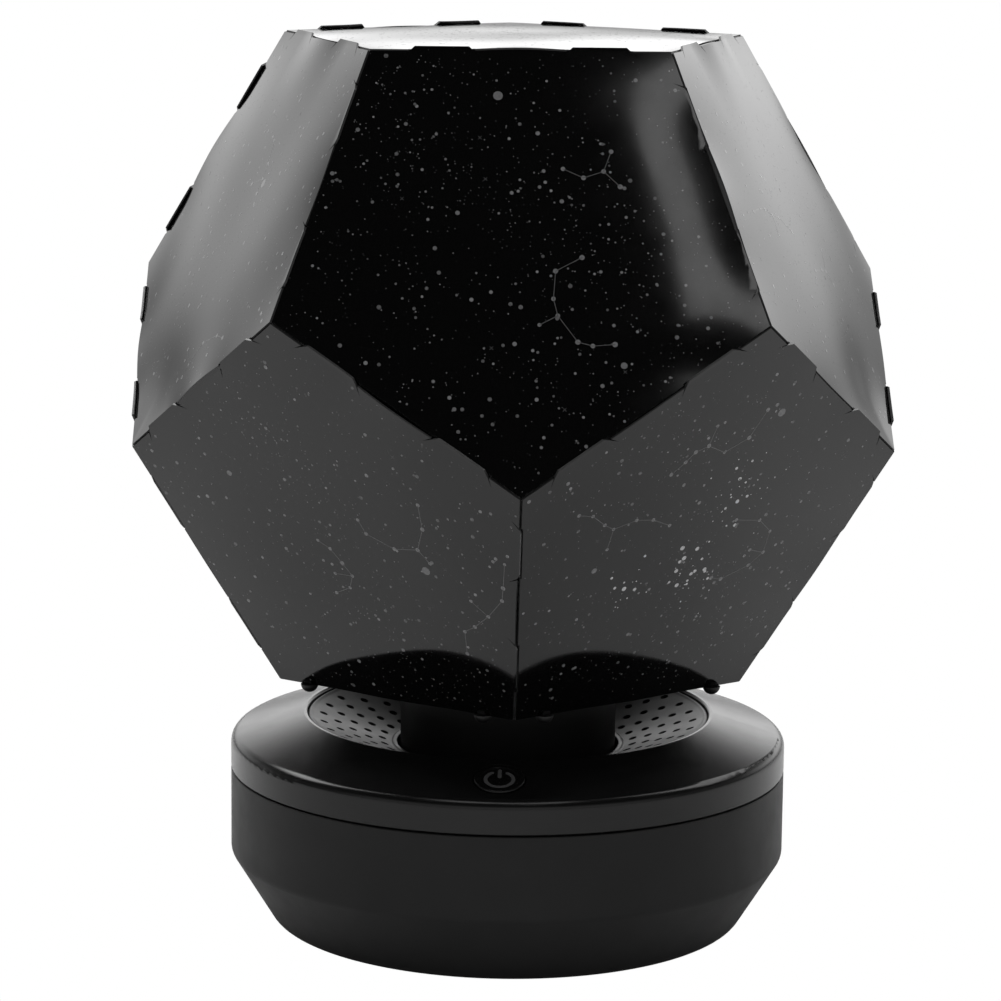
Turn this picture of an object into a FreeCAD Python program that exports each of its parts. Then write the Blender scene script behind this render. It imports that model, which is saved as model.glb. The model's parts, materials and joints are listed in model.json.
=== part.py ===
import FreeCAD, Part
import math
import os

# Home planetarium projector: a twelve-sided star dome of thin film panels turns on
# a round neck over a drum-shaped base, with a lamp on a fixed post at its centre.
# Sizes are millimetres. +Z is up and the origin is on the table, under the axis.
# The front, where the power button is, faces -Y.

# Star dome
edge_length = 65.0
film_thickness = 0.5
seam_gap = 0.1
tab_length = 14.0
tab_from_corner = 15.6
tab_rise = 0.8
flush_tab_rise = 0.1
proud_side_panel = 3
tab_chamfer = 1.2
slit_mouth = 0.4
slit_depth = 2.0
slit_lean = 1.4
slot_play = 0.15
flange_width = 4.0
flange_from_corner = 8.0
dome_turn = 3.2

# Every cutter passes the face that it cuts by this much
past = 1.0

# Outside of the base
pad_proud = 0.8
pad_radius = 39.0
pad_thickness = 1.6
pad_play = 0.1
pad_fillet = 0.4
base_radius = 64.35
bottom_radius = 54.15
bottom_fillet = 3.9
taper_height = 16.5
taper_fillet = 2.6
shell_height = 35.7
seam_groove = 0.4
seam_edge_fillet = 0.3
cover_height = 7.3
shoulder_angle = 17.5
shoulder_fillet = 2.4
rim_radius = 47.6
rim_fillet = 0.7
dome_above_rim = 11.0

# Walls and joints of the shells
shell_wall = 2.2
shell_floor = 2.5
inner_fillet = 1.5
inner_taper_share = 0.1
tongue_length = 3.0
tongue_wall = 1.8
tongue_play = 0.2
ledge_width = 2.4
ledge_thickness = 1.5
cover_inner_fillet = 1.0
rim_inner_share = 0.8

# Speaker grille dish
grille_thickness = 1.3
grille_play = 0.15
dish_depth = 8.2
dish_lip_rise = 0.8
dish_lip_width = 1.3
neck_gap = 0.7
hole_radius = 1.0
hole_rings = 5
holes_per_ring = 34
first_ring_margin = 2.5
ring_pitch = 3.45
ring_stagger_deg = 3.6
dish_edge_drop = 0.3
dish_edge_fillet = 0.5
dish_knee_fillet = 1.2
dish_lip_fillet = 0.4
dish_lip_draft = 0.2
dish_rim_share = 0.4
dish_to_ledge = 0.3
drill_below = 2.5
drill_above = 1.5

# Screw pillars, bosses and screws
pillar_radius = 4.0
boss_radius = 3.6
boss_inside_rim = 0.6
screw_shank = 1.45
screw_head_radius = 2.7
screw_head_height = 1.7
screw_play = 0.05
screw_clearance = 0.3
counterbore_depth = 5.5
counterbore_play = 0.3
screw_bite = 8.0
small_shank = 0.95
small_head_radius = 1.8
small_head_height = 1.2
drive_width_share = 0.8
drive_depth_share = 0.6
screw_end_short = 0.3
arm_width = 2.0
arm_above_deck = 4.0
arm_below_top = 2.0
arm_to_wall = 1.0

# Deck inside the base
deck_above_floor = 24.7
deck_thickness = 2.2
deck_play = 0.8

# Turning drive
neck_radius = 25.0
neck_wall = 2.0
neck_top_wall = 2.0
neck_passage = 12.0
neck_boss_radius = 2.9
neck_boss_length = 9.0
neck_boss_roof = 1.5
gear_screw_short = 2.5
gear_teeth = 66
pinion_teeth = 18
gear_over_neck = 1.4
gear_width = 3.5
pressure_angle = 20.0
gear_backlash = 0.14
gear_tip_clearance = 0.25
spigot_height = 2.0
spigot_wall = 1.6
spigot_play = 0.1
bush_wall = 2.0
bush_length = 9.0
running_play = 0.05
gear_screw_count = 3
washer_thickness = 0.8
washer_width = 4.0

# Lamp post and lamp
post_flange_radius = 17.0
post_flange_thickness = 2.0
post_bearing_radius = 8.0
post_bearing_end = 4.0
post_radius = 5.0
post_bore = 3.2
post_screw_count = 3
socket_radius = 7.0
socket_height = 9.0
bulb_radius = 5.6
bulb_neck_radius = 3.2
bulb_cap_radius = 4.6
bulb_cap_height = 9.0
bulb_cap_seat = 2.0
bulb_cap_wall = 1.0
bulb_neck_sink = 3.0
lead_radius = 0.6
lead_spacing = 2.6
lead_from_front = 5.0
lead_rise_shares = (0.3, 0.65, 0.95)
lead_bend_share = 0.45

# Film carrier
carrier_thickness = 3.0
carrier_lift = 0.3
carrier_screw_count = 5
clip_radius = 2.0
clip_from_corner = 8.5
latch_width = 1.7
latch_rise = 1.1
latch_proud = 0.5

# Gear motor
motor_radius = 10.0
motor_height = 15.0
motor_boss_radius = 4.0
motor_boss_height = 1.4
motor_ear_thickness = 1.2
motor_ear_radius = 3.0
motor_ear_reach = 13.0
shaft_radius = 1.5
shaft_in_motor = 9.0
shaft_over_gear = 0.5
motor_boss_play = 0.1

# Loudspeaker
speaker_radius = 14.0
speaker_flange = 2.4
speaker_flange_thickness = 1.2
basket_depth = 9.0
basket_foot_radius = 8.5
basket_wall = 1.0
magnet_radius = 7.6
magnet_height = 6.0
cone_wall = 0.6
cone_drop = 4.0
dust_cap_radius = 4.0
speaker_to_gear = 1.8
speaker_screw_count = 4
speaker_ear_radius = 2.6
speaker_ear_inset_share = 0.1
basket_play = 0.1
basket_below_deck = 1.0
basket_seat_depth = 0.5
cone_rim_width = 1.0
cone_surround_width = 1.2
dust_cap_rise = 1.0

# Power button and its switch
button_circle = 55.0
button_radius = 5.6
button_play = 0.15
button_proud = 0.35
button_edge_fillet = 0.4
button_depth = 1.5
button_flange_radius = 6.8
button_flange_thickness = 0.8
button_travel = 0.5
button_dish = 0.25
button_lip = 1.2
button_dish_slope = 0.3
collar_chamfer = 0.35
collar_depth = 2.0
button_bore_depth = 8.0
stem_radius = 1.8
stem_length = 1.8
plunger_radius = 1.6
plunger_proud = 0.9
plunger_depth = 1.8
plunger_end_play = 0.1
switch_side = 6.0
switch_height = 3.5
key_board_length = 20.0
key_board_width = 9.0
key_board_thickness = 1.2
key_post_radius = 2.2
key_post_spacing = 15.5
key_post_short = 1.0
key_screw_bite = 3.5
key_hole_depth = 4.0

# Boards, battery and charging socket
board_length = 50.0
board_width = 26.0
board_thickness = 1.6
board_above_floor = 5.0
board_front = 9.0
board_hole_inset = 3.0
board_screw_over_floor = 1.0
standoff_radius = 2.3
battery_length = 50.0
battery_width = 32.0
battery_height = 8.0
battery_fillet = 2.5
battery_back = -7.0
battery_rail_height = 3.0
battery_rail_width = 1.5
battery_play = 0.3
rail_root = 1.0
charge_board_length = 17.0
charge_board_width = 16.0
charge_board_above_floor = 17.0
charge_board_to_wall = 1.2
charge_hole_inset = 2.8
charge_hole_depth = 8.0
charge_screw_bite = 6.0
socket_shell_width = 7.6
socket_shell_height = 2.8
socket_shell_depth = 5.6
socket_shell_wall = 0.3
socket_shell_play = 0.2
port_recess = 0.8
port_rim = 1.4
socket_tongue_share = 0.6
socket_tongue_thickness = 0.7
socket_tongue_short = 1.0

# Parts on the main board: place from its middle (x, y), then length, width and height
chips = (
    (-13.0, -3.0, 11.0, 8.0, 2.4),
    (12.0, -5.0, 8.0, 8.0, 1.4),
    (4.0, 6.0, 6.0, 5.0, 1.2),
    (-6.0, 7.0, 6.0, 3.0, 1.6),
    (15.0, 5.0, 5.0, 5.0, 3.0))

# Values worked out from the sizes above
ORIGIN = FreeCAD.Vector(0, 0, 0)
UP = FreeCAD.Vector(0, 0, 1)
golden = (1 + math.sqrt(5)) / 2
face_apothem = edge_length / (2 * math.tan(math.radians(36)))
inscribed_radius = edge_length * golden ** 2 / (2 * math.sqrt(3 - golden))
face_tilt = math.atan(0.5)
dihedral = math.pi - math.atan(2)

shell_bottom = pad_proud
floor_top = shell_bottom + shell_floor
taper_top = shell_bottom + taper_height
shell_top = shell_bottom + shell_height
cover_bottom = shell_top + seam_groove
corner_z = cover_bottom + cover_height
shoulder_slope = math.tan(math.radians(shoulder_angle))
rim_z = corner_z + (base_radius - rim_radius) * shoulder_slope
shell_inner = base_radius - shell_wall
grille_radius = rim_radius - shell_wall / 2
ledge_inner = grille_radius + grille_play - ledge_width
ledge_top = rim_z - rim_fillet - grille_thickness
neck_hole = neck_radius + neck_gap
dish_z = rim_z - dish_depth
dome_bottom = rim_z + dome_above_rim
dome_centre = dome_bottom + inscribed_radius

boss_circle = rim_radius - boss_inside_rim
deck_bottom = floor_top + deck_above_floor
deck_top = deck_bottom + deck_thickness
boss_top = ledge_top - ledge_thickness

module = 2 * (neck_radius + gear_over_neck) / gear_teeth
gear_pitch = module * gear_teeth / 2
pinion_pitch = module * pinion_teeth / 2
drive_distance = gear_pitch + pinion_pitch
washer_bottom = deck_top + post_flange_thickness
gear_bottom = washer_bottom + washer_thickness
gear_top = gear_bottom + gear_width
carrier_bottom = dome_bottom + carrier_lift
bush_outer = post_bearing_radius + running_play + bush_wall
neck_bore = neck_radius - neck_wall
gear_screw_circle = neck_bore - neck_boss_radius + neck_wall / 2
carrier_screw_circle = (neck_passage + neck_bore) / 2
post_screw_circle = (bush_outer + washer_width + post_flange_radius) / 2

speaker_circle = gear_pitch + module + speaker_to_gear + speaker_radius
board_bottom = floor_top + board_above_floor
board_top = board_bottom + board_thickness
charge_board_bottom = floor_top + charge_board_above_floor
charge_board_top = charge_board_bottom + board_thickness


def vec(x, y, z):
    return FreeCAD.Vector(x, y, z)


def polar(radius, angle_deg, z=0.0):
    """A point at a radius and an angle from +X, at height z."""
    a = math.radians(angle_deg)
    return vec(radius * math.cos(a), radius * math.sin(a), z)


def cylinder(radius, bottom, top, at=ORIGIN):
    """An upright cylinder between two heights."""
    return Part.makeCylinder(radius, top - bottom, vec(at.x, at.y, bottom))


def ring(outer, inner, bottom, top, at=ORIGIN):
    """An upright tube between two heights."""
    bore = cylinder(inner, bottom - past, top + past, at)
    return cylinder(outer, bottom, top, at).cut(bore)


def box(low, high):
    """A block between two corners."""
    size = high - low
    return Part.makeBox(size.x, size.y, size.z, low)


def joined(shapes):
    """All the shapes fused into one, with seams between flat faces removed."""
    first = shapes[0]
    return first.fuse(shapes[1:]).removeSplitter() if len(shapes) > 1 else first


def without(shape, cutters):
    """The shape with every cutter taken out of it."""
    return shape.cut(Part.makeCompound(cutters))


def rounded_wire(corners):
    """A closed wire in the XZ plane through (r, z, fillet) corners."""
    edges, last, first = [], None, None
    count = len(corners)
    for i, (r, z, fillet) in enumerate(corners):
        here = vec(r, 0, z)
        before = corners[i - 1]
        after = corners[(i + 1) % count]
        to_before = (vec(before[0], 0, before[1]) - here).normalize()
        to_after = (vec(after[0], 0, after[1]) - here).normalize()
        start = end = here
        arc = None
        if fillet > 0:
            angle = to_before.getAngle(to_after)
            reach = fillet / math.tan(angle / 2)
            start = here + to_before * reach
            end = here + to_after * reach
            bisector = (to_before + to_after).normalize()
            middle = here + bisector * (fillet / math.sin(angle / 2) - fillet)
            arc = Part.Arc(start, middle, end).toShape()
        if last is not None:
            edges.append(Part.makeLine(last, start))
        else:
            first = start
        if arc is not None:
            edges.append(arc)
        last = end
    edges.append(Part.makeLine(last, first))
    return Part.Wire(edges)


def turned(corners):
    """A solid of revolution about the Z axis from (r, z, fillet) corners."""
    return Part.Face(rounded_wire(corners)).revolve(ORIGIN, UP, 360)


def copies(shape, count, start_deg=0.0):
    """The shape repeated round the Z axis at equal angles."""
    result = []
    for k in range(count):
        one = shape.copy()
        one.rotate(ORIGIN, UP, start_deg + 360.0 * k / count)
        result.append(one)
    return result


def screw(at, head_base, tip, shank, head_radius, head_height, head_down=True):
    """A pan-head screw on a vertical axis, its head outside head_base."""
    low, high = min(head_base, tip), max(head_base, tip)
    stem = cylinder(shank, low, high, at)
    depth = head_height * drive_depth_share
    width = shank * drive_width_share
    if head_down:
        end = head_base - head_height
        head = cylinder(head_radius, end, head_base, at)
        drive = cylinder(width, end, end + depth, at)
    else:
        end = head_base + head_height
        head = cylinder(head_radius, head_base, end, at)
        drive = cylinder(width, end - depth, end, at)
    return stem.fuse(head).removeSplitter().cut(drive)


# Star dome

def edge_point(k, along, beyond):
    """A point of a panel's plane: along edge k from its middle, and beyond that edge."""
    outward = math.radians(126 + 72 * k)
    direction = vec(math.cos(outward), math.sin(outward), 0)
    run = vec(-math.sin(outward), math.cos(outward), 0)
    return direction * (face_apothem + beyond) + run * along


def corner_point(k, inset_before, inset_after):
    """Where edge k-1 and edge k meet, each moved in by its own inset."""
    corner_angle = math.radians(90 + 72 * k)
    half = math.radians(36)
    a = face_apothem - inset_before
    b = face_apothem - inset_after
    reach = (a + b) / (2 * math.cos(half))
    aside = (b - a) / (2 * math.sin(half))
    direction = vec(math.cos(corner_angle), math.sin(corner_angle), 0)
    side = vec(-math.sin(corner_angle), math.cos(corner_angle), 0)
    return direction * reach + side * aside


def tab_centres():
    """Places along an edge of its two tabs, from the edge's middle."""
    offset = edge_length / 2 - tab_from_corner
    return (-offset, offset)


def tab_outline(k, centre, inset, rise):
    """Outline points of one in-plane tab with its two relief slits."""
    left, right = centre - tab_length / 2, centre + tab_length / 2
    deep = inset + slit_depth
    places = [
        (left - slit_mouth, -inset),
        (left - slit_mouth - slit_lean, -deep),
        (left, -inset),
        (left + tab_chamfer, rise),
        (right - tab_chamfer, rise),
        (right, -inset),
        (right + slit_mouth + slit_lean, -deep),
        (right + slit_mouth, -inset),
    ]
    return [edge_point(k, along, beyond) for along, beyond in places]


def slot_outline(k, centre, inset):
    """Outline points of the slot that lets a neighbour's tab through."""
    deep = film_thickness / math.sin(dihedral) + slot_play
    left = centre - tab_length / 2 - slot_play
    right = centre + tab_length / 2 + slot_play
    places = [(left, -inset), (left, -deep), (right, -deep), (right, -inset)]
    return [edge_point(k, along, beyond) for along, beyond in places]


def flange(k):
    """A strip folded in behind the neighbour across edge k, in this panel's frame."""
    outward = math.radians(126 + 72 * k)
    out = vec(math.cos(outward), math.sin(outward), 0)
    run = vec(-math.sin(outward), math.cos(outward), 0)
    down = out * -math.cos(dihedral) - UP * math.sin(dihedral)
    inward = out * -math.sin(dihedral) + UP * math.cos(dihedral)
    start = out * face_apothem - run * (edge_length / 2 - flange_from_corner)
    near = start + inward * film_thickness
    far = near + inward * film_thickness
    corners = [near, far, far + down * flange_width, near + down * flange_width, near]
    face = Part.Face(Part.makePolygon(corners))
    return face.extrude(run * (edge_length - 2 * flange_from_corner))


def film_panel(male, female, flush=()):
    """A flat film pentagon with its tabs, slots and folded strips, facing +Z.

    The tabs of the flush edges end level with the neighbour's face.
    """
    seam_inset = film_thickness / math.tan(dihedral / 2) + seam_gap / 2
    insets = [seam_inset if k in male or k in female else 0.0 for k in range(5)]
    points = []
    for k in range(5):
        points.append(corner_point(k, insets[k - 1], insets[k]))
        for centre in tab_centres():
            if k in male:
                rise = flush_tab_rise if k in flush else tab_rise
                points += tab_outline(k, centre, insets[k], rise)
            elif k in female:
                points += slot_outline(k, centre, insets[k])
    sheet = Part.Face(Part.makePolygon(points + points[:1]))
    plate = sheet.extrude(UP * -film_thickness)
    return joined([plate] + [flange(k) for k in female]) if female else plate


def panel_placement(azimuth_deg, normal_up, corner_up):
    """Puts a panel on the dome: azimuth from the front, normal and corner tilts."""
    a = math.radians(azimuth_deg)
    away = vec(math.sin(a), -math.cos(a), 0)
    normal = away * math.cos(normal_up) + UP * math.sin(normal_up)
    corner = away * math.cos(corner_up) + UP * math.sin(corner_up)
    across = corner.cross(normal)
    centre = vec(0, 0, dome_centre) + normal * inscribed_radius
    matrix = FreeCAD.Matrix(
        across.x, corner.x, normal.x, centre.x,
        across.y, corner.y, normal.y, centre.y,
        across.z, corner.z, normal.z, centre.z,
        0, 0, 0, 1)
    return FreeCAD.Placement(matrix)


def placed(shape, placement):
    """A copy of a shape, moved from its own frame by a placement."""
    return shape.transformed(placement.toMatrix(), True)


def make_film():
    """The eleven film panels: one on top, five above and five below the middle."""
    nodes = {}
    top = film_panel(male=(), female=(0, 1, 2, 3, 4))
    nodes["film_top"] = placed(top, panel_placement(dome_turn + 180, math.pi / 2, 0.0))
    upper = film_panel(male=(1, 2), female=(0, 3, 4), flush=(1,))
    proud = film_panel(male=(1, 2), female=(0, 3, 4))
    lower = film_panel(male=(0, 3, 4), female=(1,), flush=(3,))
    for k in range(5):
        front = dome_turn + 72 * k
        where = panel_placement(front, face_tilt, face_tilt - math.pi / 2)
        panel = proud if k == proud_side_panel else upper
        nodes[f"film_upper_{k + 1}"] = placed(panel, where)
        where = panel_placement(front + 36, -face_tilt, math.pi / 2 - face_tilt)
        nodes[f"film_lower_{k + 1}"] = placed(lower, where)
    return nodes


def pentagon(apothem, z, turn_deg):
    """A level pentagon wire with one corner towards the front, turned by an angle."""
    reach = apothem / math.cos(math.radians(36))
    points = [polar(reach, -90 + turn_deg + 72 * k, z) for k in range(5)]
    return Part.makePolygon(points + points[:1])


def carrier_screw_places():
    """Centres of the screws that hold the carrier on the neck."""
    step = 360.0 / carrier_screw_count
    return [polar(carrier_screw_circle, -90 + dome_turn + step * (k + 0.5))
            for k in range(carrier_screw_count)]


def make_carrier():
    """Five-sided plate that fills the dome's open bottom, and its screws."""
    def apothem_at(z):
        rise = z - dome_bottom
        return face_apothem + rise * math.tan(face_tilt) - film_thickness / math.cos(face_tilt)

    top = carrier_bottom + carrier_thickness
    low = pentagon(apothem_at(carrier_bottom), carrier_bottom, dome_turn)
    high = pentagon(apothem_at(top), top, dome_turn)
    plate = Part.makeLoft([low, high], True, True)
    holes = [cylinder(neck_passage, carrier_bottom - past, top + past)]
    for at in carrier_screw_places():
        holes.append(cylinder(small_shank + screw_play, carrier_bottom - past, top + past, at))
    screws = [screw(at, top, carrier_bottom - neck_top_wall, small_shank,
                    small_head_radius, small_head_height, head_down=False)
              for at in carrier_screw_places()]
    return without(plate, holes), Part.makeCompound(screws)


def make_clips(lower_panels, carrier):
    """Ten clips: a round head under the film's bottom edge and a latch over it."""
    clips = []
    bottom_edge = 2
    reach = edge_length / 2 - clip_from_corner
    below = box(vec(-base_radius * 2, -base_radius * 2, 0),
                vec(base_radius * 2, base_radius * 2, dome_bottom))
    for k, panel in enumerate(lower_panels):
        where = panel_placement(dome_turn + 72 * k + 36, -face_tilt, math.pi / 2 - face_tilt)
        for along in (-reach, reach):
            edge = edge_point(bottom_edge, along, 0.0)
            ball = Part.makeSphere(clip_radius, where.multVec(edge - UP * (film_thickness / 2)))
            low = edge + vec(-latch_width / 2, -latch_proud, -film_thickness - latch_proud)
            latch = placed(box(low, edge + vec(latch_width / 2, latch_rise, latch_proud)), where)
            clips.append(joined([ball.common(below), latch]).cut([panel, carrier]))
    return Part.makeCompound(clips)


# Turning drive

def gear_wire(teeth, z, first_tooth_deg):
    """Outline of a spur gear with involute flanks, one tooth centred on an angle."""
    pitch = module * teeth / 2
    base = pitch * math.cos(math.radians(pressure_angle))
    tip = pitch + module
    root = pitch - module * (1 + gear_tip_clearance)

    def involute(radius):
        alpha = math.acos(min(1.0, base / radius))
        return math.tan(alpha) - alpha

    half_tooth = math.pi / (2 * teeth) - gear_backlash / (4 * pitch)
    steps = 4
    flank = []
    for i in range(steps + 1):
        radius = max(root, base) + (tip - max(root, base)) * i / steps
        flank.append((radius, half_tooth + involute(pitch) - involute(radius)))
    points = []
    for k in range(teeth):
        centre = math.radians(first_tooth_deg) + 2 * math.pi * k / teeth
        side = [(root, flank[0][1])] + flank if base > root else flank
        for radius, offset in side:
            points.append((radius, centre - offset))
        for radius, offset in reversed(side):
            points.append((radius, centre + offset))
    corners = [vec(r * math.cos(a), r * math.sin(a), z) for r, a in points]
    return Part.makePolygon(corners + corners[:1])


def gear_screw_places():
    """Centres of the screws that hold the drive gear under the neck."""
    return [polar(gear_screw_circle, 90 + dome_turn + 360.0 * k / gear_screw_count)
            for k in range(gear_screw_count)]


def make_drive_gear():
    """Toothed disc under the neck, with a spigot that centres the neck on it."""
    disc = Part.Face(gear_wire(gear_teeth, gear_bottom, 0.0)).extrude(UP * gear_width)
    spigot_outer = neck_bore - spigot_play
    spigot = ring(spigot_outer, spigot_outer - spigot_wall, gear_top, gear_top + spigot_height)
    hub_top = gear_bottom + bush_length
    hub = cylinder(bush_outer + spigot_wall, gear_top, hub_top)
    cuts = [cylinder(bush_outer, gear_bottom - past, hub_top + past)]
    for at in gear_screw_places():
        cuts.append(cylinder(small_shank + screw_play, gear_bottom - past, gear_top + past, at))
        cuts.append(cylinder(small_head_radius + screw_play, gear_bottom - past,
                             gear_bottom + small_head_height, at))
        room = neck_boss_radius + spigot_play
        cuts.append(cylinder(room, gear_top, gear_top + spigot_height + past, at))
    gear = without(joined([disc, spigot, hub]), cuts)
    bush = ring(bush_outer, post_bearing_radius + running_play, gear_bottom, hub_top)
    return gear, bush


def make_neck():
    """Round column that carries the dome through the middle of the grille."""
    wall = ring(neck_radius, neck_bore, gear_top, carrier_bottom)
    roof_bottom = carrier_bottom - neck_top_wall
    roof = ring(neck_radius, neck_passage, roof_bottom, carrier_bottom)
    bosses = [cylinder(neck_boss_radius, gear_top, gear_top + neck_boss_length, at)
              for at in gear_screw_places()]
    body = joined([wall, roof] + bosses)
    outside = cylinder(neck_radius, gear_top, carrier_bottom)
    body = body.common(outside)
    boss_top_level = gear_top + neck_boss_length
    cuts = [cylinder(small_shank + screw_play, gear_top - past, boss_top_level - neck_boss_roof, at)
            for at in gear_screw_places()]
    cuts += [cylinder(small_shank + screw_play, roof_bottom - past, carrier_bottom + past, at)
             for at in carrier_screw_places()]
    screws = [screw(at, gear_bottom + small_head_height, boss_top_level - gear_screw_short,
                    small_shank, small_head_radius, small_head_height)
              for at in gear_screw_places()]
    return without(body, cuts), Part.makeCompound(screws)


def make_pinion():
    """Small gear on the motor's shaft, and the shaft itself."""
    at = vec(drive_distance, 0, 0)
    half_pitch = 180.0 / pinion_teeth
    wheel = Part.Face(gear_wire(pinion_teeth, gear_bottom, 180 + half_pitch))
    wheel = wheel.extrude(UP * gear_width)
    wheel = wheel.cut(cylinder(shaft_radius, gear_bottom - past, gear_top + past))
    wheel.translate(at)
    shaft = cylinder(shaft_radius, deck_bottom - shaft_in_motor, gear_top + shaft_over_gear, at)
    return wheel, shaft


def motor_ear_places():
    """Centres of the two motor screws."""
    return [vec(drive_distance, side * motor_ear_reach, 0) for side in (-1, 1)]


def make_motor():
    """Round gear motor hung under the deck by two ears."""
    at = vec(drive_distance, 0, 0)
    can = cylinder(motor_radius, deck_bottom - motor_height, deck_bottom, at)
    boss = cylinder(motor_boss_radius, deck_bottom, deck_bottom + motor_boss_height, at)
    ear_bottom = deck_bottom - motor_ear_thickness
    low = at + vec(-motor_ear_radius, -motor_ear_reach, ear_bottom)
    high = at + vec(motor_ear_radius, motor_ear_reach, deck_bottom)
    ears = [box(low, high)]
    ears += [cylinder(motor_ear_radius, ear_bottom, deck_bottom, p) for p in motor_ear_places()]
    body = joined([can, boss] + ears)
    bore = cylinder(shaft_radius + running_play, deck_bottom - shaft_in_motor,
                    deck_bottom + motor_boss_height + past, at)
    holes = [cylinder(small_shank + screw_play, ear_bottom - past, deck_bottom + past, p)
             for p in motor_ear_places()]
    screws = [screw(p, ear_bottom, deck_top - screw_end_short, small_shank, small_head_radius,
                    small_head_height) for p in motor_ear_places()]
    return without(body, [bore] + holes), Part.makeCompound(screws)


# Lamp

def post_screw_places():
    """Centres of the screws that hold the post on the deck."""
    return [polar(post_screw_circle, 60 + 360.0 * k / post_screw_count)
            for k in range(post_screw_count)]


def lamp_levels():
    """Heights of the socket's bottom and top and the bulb cap's top."""
    cap_top = dome_centre - bulb_radius - bulb_neck_sink
    cap_bottom = cap_top - bulb_cap_height
    socket_bottom = cap_bottom - bulb_cap_seat
    return socket_bottom, socket_bottom + socket_height, cap_bottom, cap_top


def make_post():
    """Fixed hollow post: flange on the deck, bearing part, then a slim tube."""
    socket_bottom = lamp_levels()[0]
    bearing_top = carrier_bottom + carrier_thickness + post_bearing_end
    post = turned([
        (post_bore, deck_top, 0),
        (post_flange_radius, deck_top, 0),
        (post_flange_radius, washer_bottom, 0),
        (post_bearing_radius, washer_bottom, 0),
        (post_bearing_radius, bearing_top, 0),
        (post_radius, bearing_top + post_bearing_radius - post_radius, 0),
        (post_radius, socket_bottom, 0),
        (post_bore, socket_bottom, 0)])
    holes = [cylinder(small_shank + screw_play, deck_top - past, washer_bottom + past, at)
             for at in post_screw_places()]
    seat = washer_bottom - small_head_height
    sinks = [cylinder(small_head_radius + screw_play, seat, washer_bottom + past, at)
             for at in post_screw_places()]
    screws = [screw(at, seat, deck_bottom + screw_end_short, small_shank,
                    small_head_radius, small_head_height, head_down=False)
              for at in post_screw_places()]
    washer = ring(post_bearing_radius + running_play + washer_width,
                  post_bearing_radius + running_play, washer_bottom, gear_bottom)
    return without(post, holes + sinks), Part.makeCompound(screws), washer


def make_lamp():
    """Socket cup, screw cap and glass globe, with the globe at the dome's centre."""
    socket_bottom, socket_top, cap_bottom, cap_top = lamp_levels()
    cup = cylinder(socket_radius, socket_bottom, socket_top)
    well = cylinder(bulb_cap_radius + running_play, cap_bottom, socket_top + past)
    pins = [cylinder(lead_radius + running_play, socket_bottom - past,
                     socket_bottom + bulb_cap_seat / 2, vec(side * lead_spacing / 2, 0, 0))
            for side in (-1, 1)]
    socket = without(cup, [well] + pins)
    stem_bottom = cap_bottom + bulb_cap_wall
    cap = ring(bulb_cap_radius, bulb_neck_radius, stem_bottom, cap_top)
    cap = joined([cap, cylinder(bulb_cap_radius, cap_bottom, stem_bottom)])
    globe = Part.makeSphere(bulb_radius, vec(0, 0, dome_centre))
    stem = cylinder(bulb_neck_radius, stem_bottom, dome_centre)
    return socket, cap, joined([globe, stem])


def lead(points, radius):
    """A round wire along straight runs joined by tangent arcs."""
    edges = []
    last = points[0]
    for before, here, after in zip(points, points[1:], points[2:]):
        back = before - here
        ahead = after - here
        shorter = min(back.Length, ahead.Length)
        back.normalize()
        ahead.normalize()
        turn = math.pi - back.getAngle(ahead)
        reach = lead_bend_share * shorter
        bend = reach / math.tan(turn / 2)
        start, end = here + back * reach, here + ahead * reach
        bisector = (back + ahead).normalize()
        middle = here + bisector * (bend / math.cos(turn / 2) - bend)
        edges.append(Part.makeLine(last, start))
        edges.append(Part.Arc(start, middle, end).toShape())
        last = end
    edges.append(Part.makeLine(last, points[-1]))
    path = Part.Wire(edges)
    section = Part.Wire(Part.makeCircle(radius, points[0], points[1] - points[0]))
    return path.makePipeShell([section], True, False)


def make_lamp_leads():
    """Two insulated wires from the board, in through the deck and up the post."""
    socket_bottom = lamp_levels()[0]
    rise = deck_bottom - board_top
    low, middle, high = [board_top + rise * share for share in lead_rise_shares]
    start = board_front + lead_from_front
    wires = []
    for side in (-1, 1):
        x = side * lead_spacing / 2
        wires.append(lead([
            vec(x, start, board_top),
            vec(x, start, low),
            vec(x, board_front / 2, middle),
            vec(x, 0, high),
            vec(x, 0, socket_bottom + bulb_cap_seat / 2)], lead_radius))
    return Part.makeCompound(wires)


# Shells of the base

def shell_outside():
    """The lower shell's outer form as one solid."""
    return turned([
        (0, shell_bottom, 0),
        (bottom_radius, shell_bottom, bottom_fillet),
        (base_radius, taper_top, taper_fillet),
        (base_radius, shell_top, seam_edge_fillet),
        (0, shell_top, 0)])


def shell_inside():
    """The lower shell's hollow as one solid."""
    slant = (base_radius - bottom_radius) / taper_height
    shift = shell_wall / math.cos(math.atan(slant)) - slant * shell_floor
    return turned([
        (0, floor_top, 0),
        (bottom_radius - shift, floor_top, inner_fillet),
        (shell_inner, taper_top + (shell_floor + shell_wall) * inner_taper_share, inner_fillet),
        (shell_inner, shell_top + past, 0),
        (0, shell_top + past, 0)])


def pillar_places():
    """Centres of the four screw pillars."""
    return [polar(boss_circle, 45 + 90 * k) for k in range(4)]


def board_hole_places():
    """Centres of the main board's four screws."""
    x = board_length / 2 - board_hole_inset
    near = board_front + board_hole_inset
    far = board_front + board_width - board_hole_inset
    return [vec(sx * x, y, 0) for sx in (-1, 1) for y in (near, far)]


def charge_board_rear():
    """How far back the charging board reaches."""
    return shell_inner - charge_board_to_wall


def charge_hole_places():
    """Centres of the charging board's two screws."""
    y = charge_board_rear() - charge_board_width + charge_hole_inset
    return [vec(sx * (charge_board_length / 2 - charge_hole_inset), y, 0) for sx in (-1, 1)]


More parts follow.
